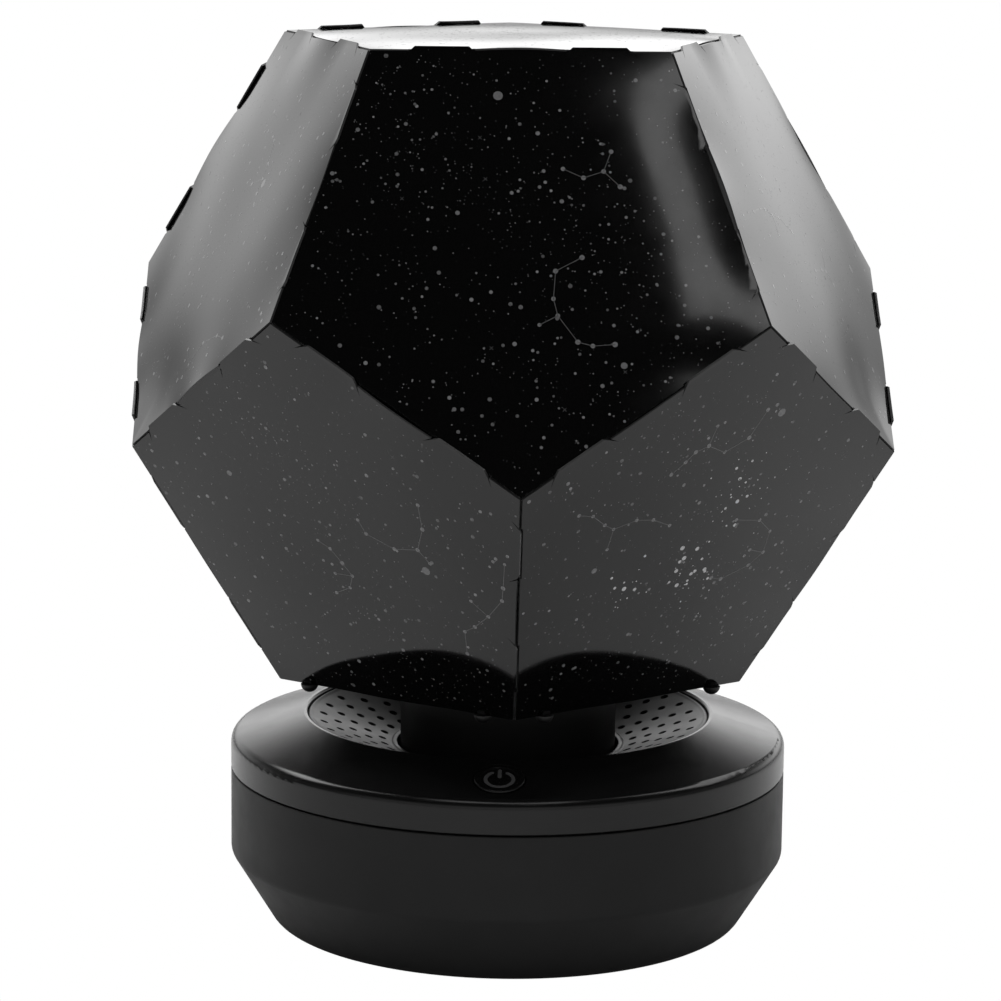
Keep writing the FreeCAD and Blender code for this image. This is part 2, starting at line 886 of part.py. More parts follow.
def port_centre():
    """Middle of the charging socket's mouth on the rear wall."""
    return vec(0, base_radius, charge_board_top + socket_shell_height / 2)


def make_lower_shell():
    """Drum-shaped tub with screw pillars, board standoffs, battery rails and port."""
    outside = shell_outside()
    tub = outside.cut(shell_inside())
    posts = [cylinder(pillar_radius, shell_bottom, deck_bottom, p) for p in pillar_places()]
    posts += [cylinder(standoff_radius, shell_bottom, board_bottom, p)
              for p in board_hole_places()]
    posts += [cylinder(standoff_radius, shell_bottom, charge_board_bottom, p)
              for p in charge_hole_places()]
    half = battery_length / 2 + battery_play
    front = battery_back - battery_width - battery_play
    back = battery_back + battery_play
    rail_top = floor_top + battery_rail_height
    rail_bottom = shell_bottom + rail_root
    thick = battery_rail_width
    posts += [
        box(vec(-half, front - thick, rail_bottom), vec(half, front, rail_top)),
        box(vec(-half, back, rail_bottom), vec(half, back + thick, rail_top)),
    ]
    posts += [box(vec(min(s * half, s * (half + thick)), front - thick, rail_bottom),
                  vec(max(s * half, s * (half + thick)), back + thick, rail_top))
              for s in (-1, 1)]
    posts = [p.common(outside) for p in posts]
    body = joined([tub] + posts)
    cuts = []
    head_top = shell_bottom + counterbore_depth
    for p in pillar_places():
        cuts.append(cylinder(screw_head_radius + counterbore_play, -past, head_top, p))
        cuts.append(cylinder(screw_shank + screw_clearance, -past, deck_bottom + past, p))
    cuts.append(cylinder(pad_radius + pad_play, -past, pad_thickness))
    for p in board_hole_places():
        cuts.append(cylinder(small_shank + screw_play, floor_top, board_bottom + past, p))
    for p in charge_hole_places():
        cuts.append(cylinder(small_shank + screw_play, charge_board_bottom - charge_hole_depth,
                             charge_board_bottom + past, p))
    port = port_centre()
    wide = socket_shell_width / 2 + socket_shell_play
    tall = socket_shell_height / 2 + socket_shell_play
    cuts.append(box(port + vec(-wide, -shell_wall * 3, -tall), port + vec(wide, past, tall)))
    wide += port_rim
    tall += port_rim
    cuts.append(box(port + vec(-wide, -port_recess, -tall), port + vec(wide, past, tall)))
    return without(body, cuts)


def shoulder_at(radius):
    """Height of the cover's sloping shoulder at a radius."""
    return rim_z - (radius - rim_radius) * shoulder_slope


def button_placement():
    """The power button's own frame: origin on the shoulder, +Z out of it."""
    tilt = FreeCAD.Rotation(vec(1, 0, 0), shoulder_angle)
    return FreeCAD.Placement(vec(0, -button_circle, shoulder_at(button_circle)), tilt)


def make_cover():
    """Top cover: sloping shoulder, side band, seam tongue, grille ledge and bosses."""
    under = shell_wall / math.cos(math.radians(shoulder_angle))
    tongue_outer = shell_inner - tongue_play
    tongue_inner = tongue_outer - tongue_wall
    seat = grille_radius + grille_play
    shoulder_in = shoulder_at(seat) - under
    cover = turned([
        (seat, rim_z, rim_fillet * rim_inner_share),
        (rim_radius, rim_z, 0),
        (base_radius, corner_z, shoulder_fillet),
        (base_radius, cover_bottom, seam_edge_fillet),
        (tongue_outer, cover_bottom, 0),
        (tongue_outer, cover_bottom - tongue_length, seam_edge_fillet),
        (tongue_inner, cover_bottom - tongue_length, seam_edge_fillet),
        (tongue_inner, corner_z - under, cover_inner_fillet),
        (seat + ledge_thickness, shoulder_at(seat + ledge_thickness) - under, 0),
        (seat + ledge_thickness, ledge_top - ledge_thickness, 0),
        (ledge_inner, ledge_top - ledge_thickness, 0),
        (ledge_inner, ledge_top, 0),
        (seat, ledge_top, 0)])
    parts = [cover]
    for p in pillar_places():
        parts.append(cylinder(boss_radius, deck_top, boss_top, p))
        arm = box(vec(boss_circle, -arm_width / 2, deck_top + arm_above_deck),
                  vec(shell_inner - arm_to_wall, arm_width / 2, boss_top - arm_below_top))
        arm.rotate(ORIGIN, UP, math.degrees(math.atan2(p.y, p.x)))
        parts.append(arm)
    where = button_placement()
    board_face = -(button_depth + button_flange_thickness + stem_length + plunger_proud
                   + switch_height)
    for side in (-1, 1):
        at = vec(side * key_post_spacing / 2, 0, board_face)
        stub = Part.makeCylinder(key_post_radius, -board_face - key_post_short, at)
        parts.append(placed(stub, where))
    body = joined(parts)
    cuts = []
    for p in pillar_places():
        cuts.append(cylinder(screw_shank + screw_play, deck_top - past,
                             deck_top + screw_bite + past, p))
    opening = button_radius + button_play
    through = Part.makeCylinder(opening, button_bore_depth * 1.5, vec(0, 0, -button_bore_depth))
    sink = Part.makeCone(opening, opening + collar_depth, collar_depth,
                         vec(0, 0, -collar_chamfer))
    pocket = Part.makeCylinder(button_flange_radius + button_play, button_bore_depth,
                               vec(0, 0, -button_depth - button_bore_depth))
    cuts += [placed(through, where), placed(sink, where), placed(pocket, where)]
    for side in (-1, 1):
        at = vec(side * key_post_spacing / 2, 0, board_face - past)
        hole = Part.makeCylinder(small_shank + screw_play, key_hole_depth + past, at)
        cuts.append(placed(hole, where))
    return without(body, cuts)


def dish_at(radius):
    """Height of the grille dish's upper face at a radius."""
    outer = grille_radius - first_ring_margin / 2
    share = (radius - neck_hole) / (outer - neck_hole)
    return dish_z + (rim_z - rim_fillet - dish_edge_drop - dish_z) * share


def make_grille():
    """Perforated dish that slopes down from the rim to the neck."""
    outer = grille_radius
    knee = outer - first_ring_margin / 2
    lip = neck_hole + dish_lip_width
    thick = grille_thickness
    step = ledge_inner - dish_to_ledge
    dish = turned([
        (outer, ledge_top, 0),
        (outer, rim_z - rim_fillet * dish_rim_share, dish_edge_fillet),
        (knee, dish_at(knee), dish_knee_fillet),
        (lip, dish_at(lip), dish_edge_fillet),
        (lip - dish_lip_draft, dish_z + dish_lip_rise, dish_lip_fillet),
        (neck_hole, dish_z + dish_lip_rise, dish_lip_fillet),
        (neck_hole, dish_z - thick, 0),
        (lip, dish_at(lip) - thick, 0),
        (step, dish_at(step) - thick, 0),
        (step, ledge_top, 0)])
    slope = math.atan((dish_at(knee) - dish_at(lip)) / (knee - lip))
    drills = []
    for row in range(hole_rings):
        radius = grille_radius - first_ring_margin - hole_radius - row * ring_pitch
        normal = vec(-math.sin(slope), 0, math.cos(slope))
        start = vec(radius, 0, dish_at(radius)) - normal * (thick + drill_below)
        drill = Part.makeCylinder(hole_radius, thick + drill_below + drill_above, start, normal)
        drills += copies(drill, holes_per_ring, row * ring_stagger_deg)
    return without(dish, drills)


def make_deck():
    """Flat plate inside the base for the post, the motor and the loudspeaker."""
    plate = cylinder(shell_inner - deck_play, deck_bottom, deck_top)
    low, high = deck_bottom - past, deck_top + past
    cuts = [cylinder(post_bore, low, high)]
    cuts += [cylinder(screw_shank + screw_clearance, low, high, p) for p in pillar_places()]
    for p in motor_ear_places() + post_screw_places() + speaker_screw_places():
        cuts.append(cylinder(small_shank + screw_play, low, high, p))
    motor = vec(drive_distance, 0, 0)
    cuts.append(cylinder(motor_boss_radius + motor_boss_play, low, high, motor))
    cuts.append(cylinder(speaker_radius - speaker_flange, low, high, speaker_centre()))
    return without(plate, cuts)


def make_pad():
    """Round rubber pad in a shallow recess under the lower shell."""
    return turned([
        (0, 0, 0),
        (pad_radius, 0, pad_fillet),
        (pad_radius, pad_thickness, 0),
        (0, pad_thickness, 0)])


def make_shell_screws():
    """Four long screws from below, through the deck and into the cover's bosses."""
    base = shell_bottom + counterbore_depth
    return Part.makeCompound([
        screw(p, base, deck_top + screw_bite, screw_shank, screw_head_radius, screw_head_height)
        for p in pillar_places()])


# Loudspeaker

def speaker_centre():
    """Where the loudspeaker stands on the deck, across from the motor."""
    return polar(speaker_circle, 180)


def speaker_screw_places():
    """Centres of the loudspeaker's four screws, in its flange."""
    middle = speaker_centre()
    reach = speaker_radius - speaker_flange * speaker_ear_inset_share
    return [middle + polar(reach, 45 + 360.0 * k / speaker_screw_count)
            for k in range(speaker_screw_count)]


def make_speaker():
    """Basket, paper cone and magnet of a small loudspeaker facing up."""
    outer = speaker_radius - speaker_flange - basket_play
    rim = outer - basket_wall
    flange_top = deck_top + speaker_flange_thickness
    foot_z = deck_top - basket_depth
    shoulder = deck_bottom - basket_below_deck
    basket = turned([
        (dust_cap_radius, foot_z, 0),
        (basket_foot_radius, foot_z, 0),
        (outer, shoulder, 0),
        (outer, deck_top, 0),
        (speaker_radius, deck_top, 0),
        (speaker_radius, flange_top, 0),
        (rim, flange_top, 0),
        (rim, shoulder, 0),
        (basket_foot_radius - basket_wall, foot_z + basket_wall, 0),
        (dust_cap_radius, foot_z + basket_wall, 0)])
    ear = cylinder(speaker_ear_radius, deck_top, flange_top)
    places = speaker_screw_places()
    middle = speaker_centre()
    basket.translate(middle)
    ears = []
    for p in places:
        one = ear.copy()
        one.translate(p)
        ears.append(one)
    bore = cylinder(rim, deck_top - basket_seat_depth, flange_top + past, middle)
    frame = joined([basket] + ears)
    frame = without(frame, [bore] + [
        cylinder(small_shank + screw_play, deck_top - past, flange_top + past, p) for p in places])
    cone_top = flange_top - cone_drop
    cone = turned([
        (0, cone_top - cone_wall, 0),
        (dust_cap_radius, cone_top - cone_wall, 0),
        (rim - cone_rim_width, flange_top - cone_wall, 0),
        (rim, flange_top - cone_wall, 0),
        (rim, flange_top, 0),
        (rim - cone_surround_width, flange_top, 0),
        (dust_cap_radius, cone_top, 0),
        (0, cone_top + dust_cap_rise, 0)])
    cone.translate(middle)
    magnet = cylinder(magnet_radius, foot_z - magnet_height, foot_z, middle)
    screws = [screw(p, flange_top, deck_bottom + screw_end_short, small_shank, small_head_radius,
                    small_head_height, head_down=False) for p in places]
    return frame, cone, magnet, Part.makeCompound(screws)


# Power button

def make_button():
    """Round key cap with a stem, in the shoulder's own frame, moved into place."""
    where = button_placement()
    flange_bottom = -button_depth - button_flange_thickness
    stem_bottom = flange_bottom - stem_length
    cap = turned([
        (0, stem_bottom, 0),
        (stem_radius, stem_bottom, 0),
        (stem_radius, flange_bottom, 0),
        (button_flange_radius, flange_bottom, 0),
        (button_flange_radius, -button_depth, 0),
        (button_radius, -button_depth, 0),
        (button_radius, button_proud, button_edge_fillet),
        (button_radius - button_lip, button_proud, 0),
        (button_radius - button_lip - button_dish_slope, button_proud - button_dish, 0),
        (0, button_proud - button_dish, 0)])
    plunger_bottom = stem_bottom - plunger_proud - plunger_depth
    plunger = Part.makeCylinder(plunger_radius, stem_bottom - plunger_bottom,
                                vec(0, 0, plunger_bottom))
    return placed(cap, where), placed(plunger, where)


def make_switch():
    """Push switch on its small board, screwed under the cover."""
    where = button_placement()
    top = -(button_depth + button_flange_thickness + stem_length + plunger_proud)
    bottom = top - switch_height
    half = switch_side / 2
    body = box(vec(-half, -half, bottom), vec(half, half, top))
    well_depth = plunger_depth + button_travel + plunger_end_play
    body = body.cut(Part.makeCylinder(plunger_radius + running_play, well_depth + past,
                                      vec(0, 0, top - well_depth)))
    low = bottom - key_board_thickness
    board = box(vec(-key_board_length / 2, -key_board_width / 2, low),
                vec(key_board_length / 2, key_board_width / 2, bottom))
    spots = [vec(side * key_post_spacing / 2, 0, 0) for side in (-1, 1)]
    board = without(board, [cylinder(small_shank + screw_play, low - past, bottom + past, p)
                            for p in spots])
    screws = [screw(p, low, bottom + key_screw_bite, small_shank, small_head_radius,
                    small_head_height) for p in spots]
    return placed(body, where), placed(board, where), placed(Part.makeCompound(screws), where)


# Boards and battery

def make_main_board():
    """Main circuit board on four standoffs, with its parts and screws."""
    low = vec(-board_length / 2, board_front, board_bottom)
    high = vec(board_length / 2, board_front + board_width, board_top)
    board = without(box(low, high), [
        cylinder(small_shank + screw_play, board_bottom - past, board_top + past, p)
        for p in board_hole_places()])
    middle = board_front + board_width / 2
    blocks = []
    for x, y, length, width, height in chips:
        corner = vec(x - length / 2, middle + y - width / 2, board_top)
        blocks.append(box(corner, corner + vec(length, width, height)))
    screws = [screw(p, board_top, floor_top + board_screw_over_floor, small_shank,
                    small_head_radius, small_head_height, head_down=False)
              for p in board_hole_places()]
    return board, Part.makeCompound(blocks), Part.makeCompound(screws)


def make_charge_board():
    """Small board at the back that carries the charging socket."""
    rear = charge_board_rear()
    front = rear - charge_board_width
    half = charge_board_length / 2
    board = box(vec(-half, front, charge_board_bottom), vec(half, rear, charge_board_top))
    board = board.common(shell_inside())
    board = without(board, [cylinder(small_shank + screw_play, charge_board_bottom - past,
                                     charge_board_top + past, p) for p in charge_hole_places()])
    mouth = port_centre() - vec(0, port_recess, 0)
    w, h = socket_shell_width / 2, socket_shell_height / 2
    t = socket_shell_wall
    shell = box(mouth + vec(-w, -socket_shell_depth, -h), mouth + vec(w, 0, h))
    shell = shell.cut(box(mouth + vec(-w + t, -socket_shell_depth + t, -h + t),
                          mouth + vec(w - t, past, h - t)))
    tongue_half = w * socket_tongue_share
    tongue_rise = socket_tongue_thickness / 2
    tongue = box(mouth + vec(-tongue_half, -socket_shell_depth + t, -tongue_rise),
                 mouth + vec(tongue_half, -socket_tongue_short, tongue_rise))
    screws = [screw(p, charge_board_top, charge_board_bottom - charge_screw_bite, small_shank,
                    small_head_radius, small_head_height, head_down=False)
              for p in charge_hole_places()]
    return board, joined([shell, tongue]), Part.makeCompound(screws)


def make_battery():
    """Flat rechargeable cell between its rails."""
    low = vec(-battery_length / 2, battery_back - battery_width, floor_top)
    high = vec(battery_length / 2, battery_back, floor_top + battery_height)
    cell = box(low, high)
    return cell.makeFillet(battery_fillet, [e for e in cell.Edges if is_lengthwise(e)])


def is_lengthwise(edge):
    """Whether a straight edge runs along Y."""
    a, b = edge.Vertexes[0].Point, edge.Vertexes[-1].Point
    return abs(abs(a.y - b.y) - edge.Length) < 1e-6


def all_nodes():
    """Every sub-part of the projector, by name."""
    nodes = make_film()
    lower = [nodes[f"film_lower_{k + 1}"] for k in range(5)]
    nodes["film_carrier"], nodes["carrier_screws"] = make_carrier()
    nodes["film_clips"] = make_clips(lower, nodes["film_carrier"])
    nodes["drive_gear"], nodes["bearing_bush"] = make_drive_gear()
    nodes["neck"], nodes["gear_screws"] = make_neck()
    nodes["motor_pinion"], nodes["motor_shaft"] = make_pinion()
    nodes["gear_motor"], nodes["motor_screws"] = make_motor()
    nodes["lamp_post"], nodes["post_screws"], nodes["thrust_washer"] = make_post()
    nodes["lamp_socket"], nodes["bulb_cap"], nodes["bulb_glass"] = make_lamp()
    nodes["lamp_leads"] = make_lamp_leads()
    nodes["lower_shell"] = make_lower_shell()
    nodes["top_cover"] = make_cover()
    nodes["speaker_grille"] = make_grille()
    nodes["inner_deck"] = make_deck()
    nodes["rubber_pad"] = make_pad()
    nodes["shell_screws"] = make_shell_screws()
    frame, cone, magnet, screws = make_speaker()
    nodes["speaker_frame"], nodes["speaker_cone"] = frame, cone
    nodes["speaker_magnet"], nodes["speaker_screws"] = magnet, screws
    nodes["power_button"], nodes["switch_plunger"] = make_button()
    nodes["push_switch"], nodes["key_board"], nodes["key_board_screws"] = make_switch()
    nodes["main_board"], nodes["board_parts"], nodes["board_screws"] = make_main_board()
    board, socket, screws = make_charge_board()
    nodes["charge_board"], nodes["charge_socket"] = board, socket
    nodes["charge_board_screws"] = screws
    nodes["battery_cell"] = make_battery()
    return nodes


def main():
    """Builds every sub-part and writes one STEP file for each."""
    os.makedirs("parts", exist_ok=True)
    for name, shape in all_nodes().items():
        shape.exportStep(os.path.join("parts", name + ".step"))
        print(name, "solids", len(shape.Solids), "valid", shape.isValid(),
              "volume", round(shape.Volume, 1))


main()
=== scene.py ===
"""Looks of the planetarium projector: printed film dome, moulded base and studio.

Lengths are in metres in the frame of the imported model: +Z is up, the origin is on
the table under the dome's axis, and the power button faces -Y.
"""
import json
import logging
import math
from dataclasses import dataclass
from enum import Enum
from typing import NamedTuple, Optional, Union

import bmesh
import bpy
import numpy as np
from mathutils import Matrix, Quaternion, Vector


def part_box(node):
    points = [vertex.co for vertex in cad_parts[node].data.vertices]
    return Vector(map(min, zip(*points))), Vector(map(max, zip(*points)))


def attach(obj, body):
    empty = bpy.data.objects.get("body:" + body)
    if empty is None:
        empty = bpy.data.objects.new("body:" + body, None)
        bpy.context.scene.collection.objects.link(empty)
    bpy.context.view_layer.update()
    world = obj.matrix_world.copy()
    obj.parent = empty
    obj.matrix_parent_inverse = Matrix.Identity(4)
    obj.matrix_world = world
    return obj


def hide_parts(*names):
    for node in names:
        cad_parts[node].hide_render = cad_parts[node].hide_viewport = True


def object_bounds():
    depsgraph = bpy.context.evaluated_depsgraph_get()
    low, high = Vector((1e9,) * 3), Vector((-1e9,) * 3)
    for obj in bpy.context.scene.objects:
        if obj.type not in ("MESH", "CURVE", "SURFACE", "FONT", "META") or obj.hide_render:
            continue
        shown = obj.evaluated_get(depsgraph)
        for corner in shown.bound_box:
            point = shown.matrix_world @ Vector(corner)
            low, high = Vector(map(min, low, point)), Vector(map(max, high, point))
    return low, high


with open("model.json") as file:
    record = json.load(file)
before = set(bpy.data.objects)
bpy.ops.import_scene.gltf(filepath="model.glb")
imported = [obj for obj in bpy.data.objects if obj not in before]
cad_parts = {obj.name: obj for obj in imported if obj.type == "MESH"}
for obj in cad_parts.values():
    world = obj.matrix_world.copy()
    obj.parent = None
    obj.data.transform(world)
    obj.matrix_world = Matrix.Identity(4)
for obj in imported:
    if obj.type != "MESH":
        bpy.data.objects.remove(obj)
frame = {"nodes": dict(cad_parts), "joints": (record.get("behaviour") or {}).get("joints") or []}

CAD_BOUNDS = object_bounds()
LOG = logging.getLogger("projector")
MM = 0.001
GOLDEN = (1 + math.sqrt(5)) / 2
Colour = tuple[float, float, float]
Limits = tuple[float, float]
Faces = list[list[int]]
Rows = bpy.types.bpy_prop_collection
Socket = bpy.types.NodeSocket
Value = Union[Socket, float, tuple[float, ...]]
Inputs = Optional[dict[Union[str, int], Value]]


# Node helpers

class Nodes:
    """Adds and joins the nodes of one tree."""

    def __init__(self, tree: bpy.types.NodeTree) -> None:
        """Works on the tree of a material or world."""
        self.tree = tree

    def feed(self, end: Socket, value: Value) -> None:
        """Gives an input a plain value, or joins an output to it."""
        if isinstance(value, Socket):
            self.tree.links.new(value, end)
        else:
            end.default_value = value

    def node(self, kind: str, inputs: Inputs = None, **settings: object) -> bpy.types.Node:
        """Adds a node.

        Args:
            kind: the node's type name.
            inputs: what goes into it, by the input's name or number.
            settings: properties of the node.

        Returns:
            The new node.
        """
        made = self.tree.nodes.new(kind)
        for key, value in settings.items():
            setattr(made, key, value)
        for key, value in (inputs or {}).items():
            self.feed(made.inputs[key], value)
        return made

    def reckon(self, operation: str, *values: Value) -> Socket:
        """Works out a sum of the values, in their order."""
        return self.node("ShaderNodeMath", dict(enumerate(values)), operation=operation).outputs[0]

    def mix(self, share: Value, first: Value, second: Value) -> Socket:
        """Goes from a first value to a second one as the share goes from 0 to 1."""
        inputs = {"Factor": share, "A": first, "B": second}
        return self.node("ShaderNodeMix", inputs).outputs["Result"]

    def ramp(self, value: Socket, stops: list[tuple[float, Colour]]) -> Socket:
        """Maps a value to colours.

        Args:
            value: what is looked up.
            stops: positions with their colours.

        Returns:
            The colour.
        """
        made = self.node("ShaderNodeValToRGB", {"Fac": value})
        band = made.color_ramp.elements
        while len(band) < len(stops):
            band.new(1.0)
        for element, (place, colour) in zip(band, stops):
            element.position = place
            element.color = (*colour, 1.0)
        return made.outputs["Color"]

    def span(self, value: Socket, low: Value, high: Value, start: float = 0.3,
             end: float = 0.7, easing: str = "LINEAR") -> Socket:
        """Stretches the part from start to end so that it goes from low to high."""
        inputs = {"Value": value, "From Min": start, "From Max": end, "To Min": low,
                  "To Max": high}
        made = self.node("ShaderNodeMapRange", inputs, interpolation_type=easing)
        return made.outputs["Result"]


class Shade(Nodes):
    """Builds one material's node tree, from a Principled shader outwards."""

    def __init__(self, name: str) -> None:
        """Starts a new material.

        Args:
            name: the material's name.
        """
        self.material = bpy.data.materials.new(name)
        self.material.use_nodes = True
        super().__init__(self.material.node_tree)
        self.shader = self.tree.nodes["Principled BSDF"]
        self.place = self.node("ShaderNodeTexCoord").outputs["Object"]

    def noise(self, size: float, detail: float = 3.0, rough: float = 0.5) -> Socket:
        """Soft noise of about 0.5, with cells of a size and so many octaves of detail."""
        inputs = {"Vector": self.place, "Scale": 1 / size, "Detail": detail, "Roughness": rough}
        return self.node("ShaderNodeTexNoise", inputs).outputs["Fac"]

    def bump(self, height: Socket, depth: float) -> Socket:
        """The normal of a surface that stands out by depth where the height is 1."""
        inputs = {"Strength": 1.0, "Distance": depth, "Height": height}
        return self.node("ShaderNodeBump", inputs).outputs["Normal"]

    def set(self, **values: Value) -> None:
        """Feeds the shader's inputs, with _ for a space in their names."""
        for key, value in values.items():
            self.feed(self.shader.inputs[key.replace("_", " ")], value)


# Finishes

def grey(level: float) -> Colour:
    """A colour with the same level of red, green and blue."""
    return (level, level, level)


@dataclass(frozen=True)
class Moulded:
    """Injection-moulded plastic with a fine spark-eroded grain."""

    name: str
    dark: Colour
    light: Colour
    roughness: Limits
    grain_size: float = 0.25 * MM
    grain_depth: float = 0.006 * MM
    specular: float = 0.5
    skin: float = 0.0
    cloud_size: float = 18 * MM
    wear_size: float = 7 * MM

    def make(self) -> bpy.types.Material:
        """Returns the finished material."""
        shade = Shade(self.name)
        cloud = shade.noise(self.cloud_size, detail=4)
        wear = shade.noise(self.wear_size, detail=5, rough=0.6)
        grain = shade.noise(self.grain_size, detail=2)
        shade.set(Base_Color=shade.ramp(cloud, [(0.3, self.dark), (0.7, self.light)]),
                  Roughness=shade.span(wear, *self.roughness),
                  Normal=shade.bump(grain, self.grain_depth),
                  Specular_IOR_Level=self.specular, Coat_Weight=self.skin,
                  Coat_Roughness=self.roughness[0])
        return shade.material


@dataclass(frozen=True)
class Metal:
    """Plated or turned metal with fine marks from its making."""

    name: str
    colour: Colour
    roughness: Limits
    mark_size: float = 0.15 * MM
    mark_depth: float = 0.002 * MM
    darker: float = 0.82
    tone_size: float = 3 * MM
    wear_size: float = 1.2 * MM

    def make(self) -> bpy.types.Material:
        """Returns the finished material."""
        shade = Shade(self.name)
        tone = shade.noise(self.tone_size, detail=4)
        dark = tuple(level * self.darker for level in self.colour)
        wear = shade.noise(self.wear_size, detail=5)
        marks = shade.noise(self.mark_size, detail=3)
        shade.set(Metallic=1.0, Base_Color=shade.ramp(tone, [(0.3, dark), (0.7, self.colour)]),
                  Roughness=shade.span(wear, *self.roughness),
                  Normal=shade.bump(marks, self.mark_depth))
        return shade.material


@dataclass(frozen=True)
class PrintedFilm:
    """Glossy black film with a faint dust of pinholes and slight handling marks."""

    name: str = "printed_film"
    dark: Colour = grey(0.002)
    light: Colour = (0.045, 0.045, 0.046)
    roughness: Limits = (0.05, 0.09)
    coat: float = 0.5
    coat_roughness: float = 0.045
    dust_spacing: float = 1.5 * MM
    dust_radius: float = 0.1
    dust_core: float = 0.6
    wear_size: float = 11 * MM
    wave_size: float = 26 * MM
    wave_depth: float = 0.05 * MM

    def share(self, shade: Shade) -> Socket:
        """How light the print is: 1 in a pinhole's core and 0 between pinholes."""
        inputs = {"Scale": 1 / self.dust_spacing, "Vector": shade.place}
        cells = shade.node("ShaderNodeTexVoronoi", inputs, feature="F1")
        return shade.span(cells.outputs["Distance"], 1.0, 0.0,
                          self.dust_radius * self.dust_core, self.dust_radius)

    def make(self) -> bpy.types.Material:
        """Returns the finished material."""
        shade = Shade(self.name)
        wear = shade.noise(self.wear_size, detail=6, rough=0.65)
        wave = shade.bump(shade.noise(self.wave_size, detail=1), self.wave_depth)
        stops = [(0.0, self.dark), (1.0, self.light)]
        shade.set(Base_Color=shade.ramp(self.share(shade), stops),
                  Roughness=shade.span(wear, *self.roughness), Normal=wave,
                  Coat_Weight=self.coat, Coat_Roughness=self.coat_roughness,
                  Coat_Normal=wave, Specular_IOR_Level=0.5, IOR=1.5)
        return shade.material


@dataclass(frozen=True)
class StarPrintAndPaintedGlow(PrintedFilm):
    """Clear windows in the film's black print, lighter where a star is bright, and painted light
    where pinholes glow at full brightness.
    """

    name: str = "star_print_and_painted_glow"
    dark: Colour = (0.03, 0.03, 0.031)
    # At full brightness this colour is the painted light of the glowing pinholes.
    light: Colour = (0.7, 0.7, 0.71)
    fleck_size: float = 0.5 * MM
    fleck_change: float = 0.04

    def share(self, shade: Shade) -> Socket:
        """Each star's own brightness, slightly uneven, which on the glowing pinholes is painted
        light.
        """
        glow = shade.node("ShaderNodeAttribute", attribute_name="brightness")
        flecks = shade.noise(self.fleck_size, detail=2)
        uneven = shade.span(flecks, -self.fleck_change, self.fleck_change)
        return shade.reckon("ADD", glow.outputs["Fac"], uneven)


@dataclass(frozen=True)
class ClearGlass:
    """Thin blown glass."""

    name: str
    tint: Colour = (0.98, 0.98, 0.96)
    roughness: Limits = (0.0, 0.03)
    wear_size: float = 4 * MM

    def make(self) -> bpy.types.Material:
        """Returns the finished material."""
        shade = Shade(self.name)
        wear = shade.noise(self.wear_size)
        shade.set(Transmission_Weight=1.0, IOR=1.45, Base_Color=(*self.tint, 1.0),
                  Roughness=shade.span(wear, *self.roughness))
        return shade.material


@dataclass(frozen=True)
class CircuitBoard:
    """Solder mask over copper tracks on a square raster."""

    name: str
    mask: Colour = (0.012, 0.11, 0.04)
    track: Colour = (0.025, 0.2, 0.075)
    raster: float = 1.6 * MM
    track_share: float = 0.06
    relief: float = 0.03 * MM
    roughness: Limits = (0.25, 0.4)
    wear_size: float = 5 * MM

    def make(self) -> bpy.types.Material:
        """Returns the finished material."""
        shade = Shade(self.name)
        inputs = {"Vector": shade.place, "Scale": 1 / self.raster,
                  "Mortar Size": self.track_share, "Color1": (*self.mask, 1),
                  "Color2": (*self.mask, 1), "Mortar": (*self.track, 1)}
        bricks = shade.node("ShaderNodeTexBrick", inputs)
        wear = shade.noise(self.wear_size)
        shade.set(Base_Color=bricks.outputs["Color"],
                  Roughness=shade.span(wear, *self.roughness),
                  Normal=shade.bump(bricks.outputs["Fac"], self.relief))
        return shade.material


MADE: dict[str, bpy.types.Material] = {}


